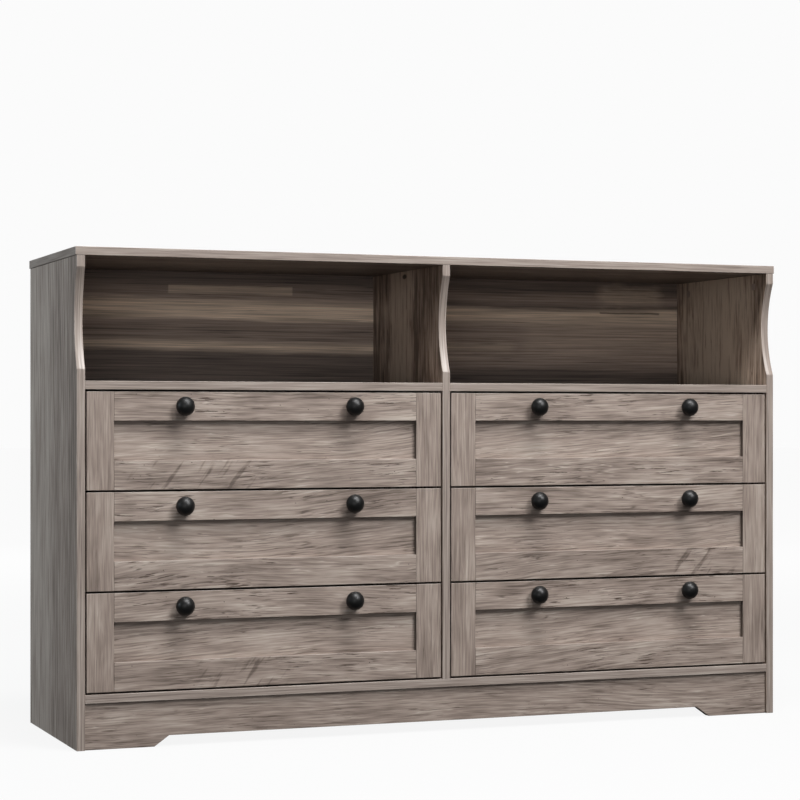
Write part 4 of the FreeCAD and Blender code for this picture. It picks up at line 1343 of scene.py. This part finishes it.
class DRESSER_OT_stage(bpy.types.Operator):
    """Adds a plain pale floor, soft studio light and the camera"""
    bl_idname = "dresser.stage"
    bl_label = "Stage"

    def execute(self, context):
        settings = context.scene.dresser_stage
        self.add_floor(context.scene, settings)
        self.add_lights(context.scene, settings)
        self.add_world(context.scene, settings)
        self.add_camera(context.scene, settings)
        return {"FINISHED"}

    def add_floor(self, scene, settings):
        bm = bmesh.new()
        bmesh.ops.create_circle(bm, cap_ends=True, segments=96, radius=FLOOR_RADIUS)
        bmesh.ops.translate(bm, verts=bm.verts, vec=(0.0, 0.0, -FLOOR_DROP))
        floor = bpy.data.objects.new("studio_floor", as_mesh(bm, "studio_floor"))
        scene.collection.objects.link(floor)
        material, tree, shader = new_material("Pale floor")
        place = add(tree, "ShaderNodeTexCoord").outputs["Object"]
        reach = Value(add(tree, "ShaderNodeVectorMath", {0: place}, operation="LENGTH").outputs["Value"])
        seen = add(tree, "ShaderNodeLightPath").outputs["Is Camera Ray"]
        plug(shader.inputs, {
            "Base Color": opaque(settings.floor_tone),
            "Roughness": 0.9,
            "Specular IOR Level": 0.0,
            "Emission Color": opaque(WHITE),
            "Emission Strength": reach.fade(*GLOW_REACH, settings.floor_glow, FAR_GLOW) * seen,
        })
        floor.data.materials.append(material)

    def add_lights(self, scene, settings):
        for name, (size, place, tint) in LIGHTS.items():
            light = bpy.data.lights.new(f"{name}_light", "AREA")
            light.energy = getattr(settings, f"{name}_power")
            light.shape = "RECTANGLE"
            light.size, light.size_y = size
            light.color = tint
            item = bpy.data.objects.new(f"{name}_light", light)
            item.location = place
            item.rotation_euler = (LIGHT_TARGET - Vector(place)).to_track_quat("-Z", "Y").to_euler()
            scene.collection.objects.link(item)

    def add_world(self, scene, settings):
        world = bpy.data.worlds.new("Studio")
        world.use_nodes = True
        tree = world.node_tree
        tree.nodes.clear()
        seen = Value(add(tree, "ShaderNodeLightPath").outputs["Is Camera Ray"])
        strength = seen.fade(0.0, 1.0, settings.ambient, SKY_SEEN)
        sky = add(tree, "ShaderNodeBackground", {"Color": opaque(WHITE), "Strength": strength})
        add(tree, "ShaderNodeOutputWorld", {"Surface": sky.outputs[0]})
        scene.world = world
        scene.view_settings.view_transform = "Standard"

    def add_camera(self, scene, settings):
        data = bpy.data.cameras.new("photo_camera")
        data.sensor_width = 36.0
        data.lens = settings.camera_lens
        data.shift_x = settings.shift_x
        data.shift_y = settings.shift_y
        camera = bpy.data.objects.new("photo_camera", data)
        camera.location = settings.camera_place
        camera.rotation_euler = (math.pi / 2, 0.0, -settings.camera_turn)
        scene.collection.objects.link(camera)
        scene.camera = camera


class DRESSER_PT_sidebar(bpy.types.Panel):
    """Lists the settings and the steps that build the dresser"""
    bl_idname = "DRESSER_PT_sidebar"
    bl_label = "Dresser with hutch"
    bl_space_type = "VIEW_3D"
    bl_region_type = "UI"
    bl_category = "Dresser"

    def draw(self, context):
        for name, group in SETTINGS.items():
            box = self.layout.box()
            for setting in group.__annotations__:
                box.prop(getattr(context.scene, name), setting)
        for operator in OPERATORS:
            self.layout.operator(operator.bl_idname)


SETTINGS = {
    "dresser_shape": DresserShapeSettings,
    "dresser_finish": DresserFinishSettings,
    "dresser_stage": DresserStageSettings,
}
OPERATORS = (
    DRESSER_OT_case_boards,
    DRESSER_OT_back_sheets,
    DRESSER_OT_drawer_fronts,
    DRESSER_OT_drawer_boxes,
    DRESSER_OT_knobs,
    DRESSER_OT_screws,
    DRESSER_OT_hardware,
    DRESSER_OT_stage,
)


def register():
    for name, group in SETTINGS.items():
        bpy.utils.register_class(group)
        setattr(bpy.types.Scene, name, PointerProperty(type=group))
    for operator in OPERATORS:
        bpy.utils.register_class(operator)
    bpy.utils.register_class(DRESSER_PT_sidebar)


def unregister():
    bpy.utils.unregister_class(DRESSER_PT_sidebar)
    for operator in reversed(OPERATORS):
        bpy.utils.unregister_class(operator)
    for name, group in reversed(SETTINGS.items()):
        delattr(bpy.types.Scene, name)
        bpy.utils.unregister_class(group)


def main():
    register()
    bpy.ops.dresser.case_boards()
    bpy.ops.dresser.back_sheets()
    bpy.ops.dresser.drawer_fronts()
    bpy.ops.dresser.drawer_boxes()
    bpy.ops.dresser.knobs()
    bpy.ops.dresser.screws()
    bpy.ops.dresser.hardware()
    bpy.ops.dresser.stage()


if __name__ == "__main__":
    main()
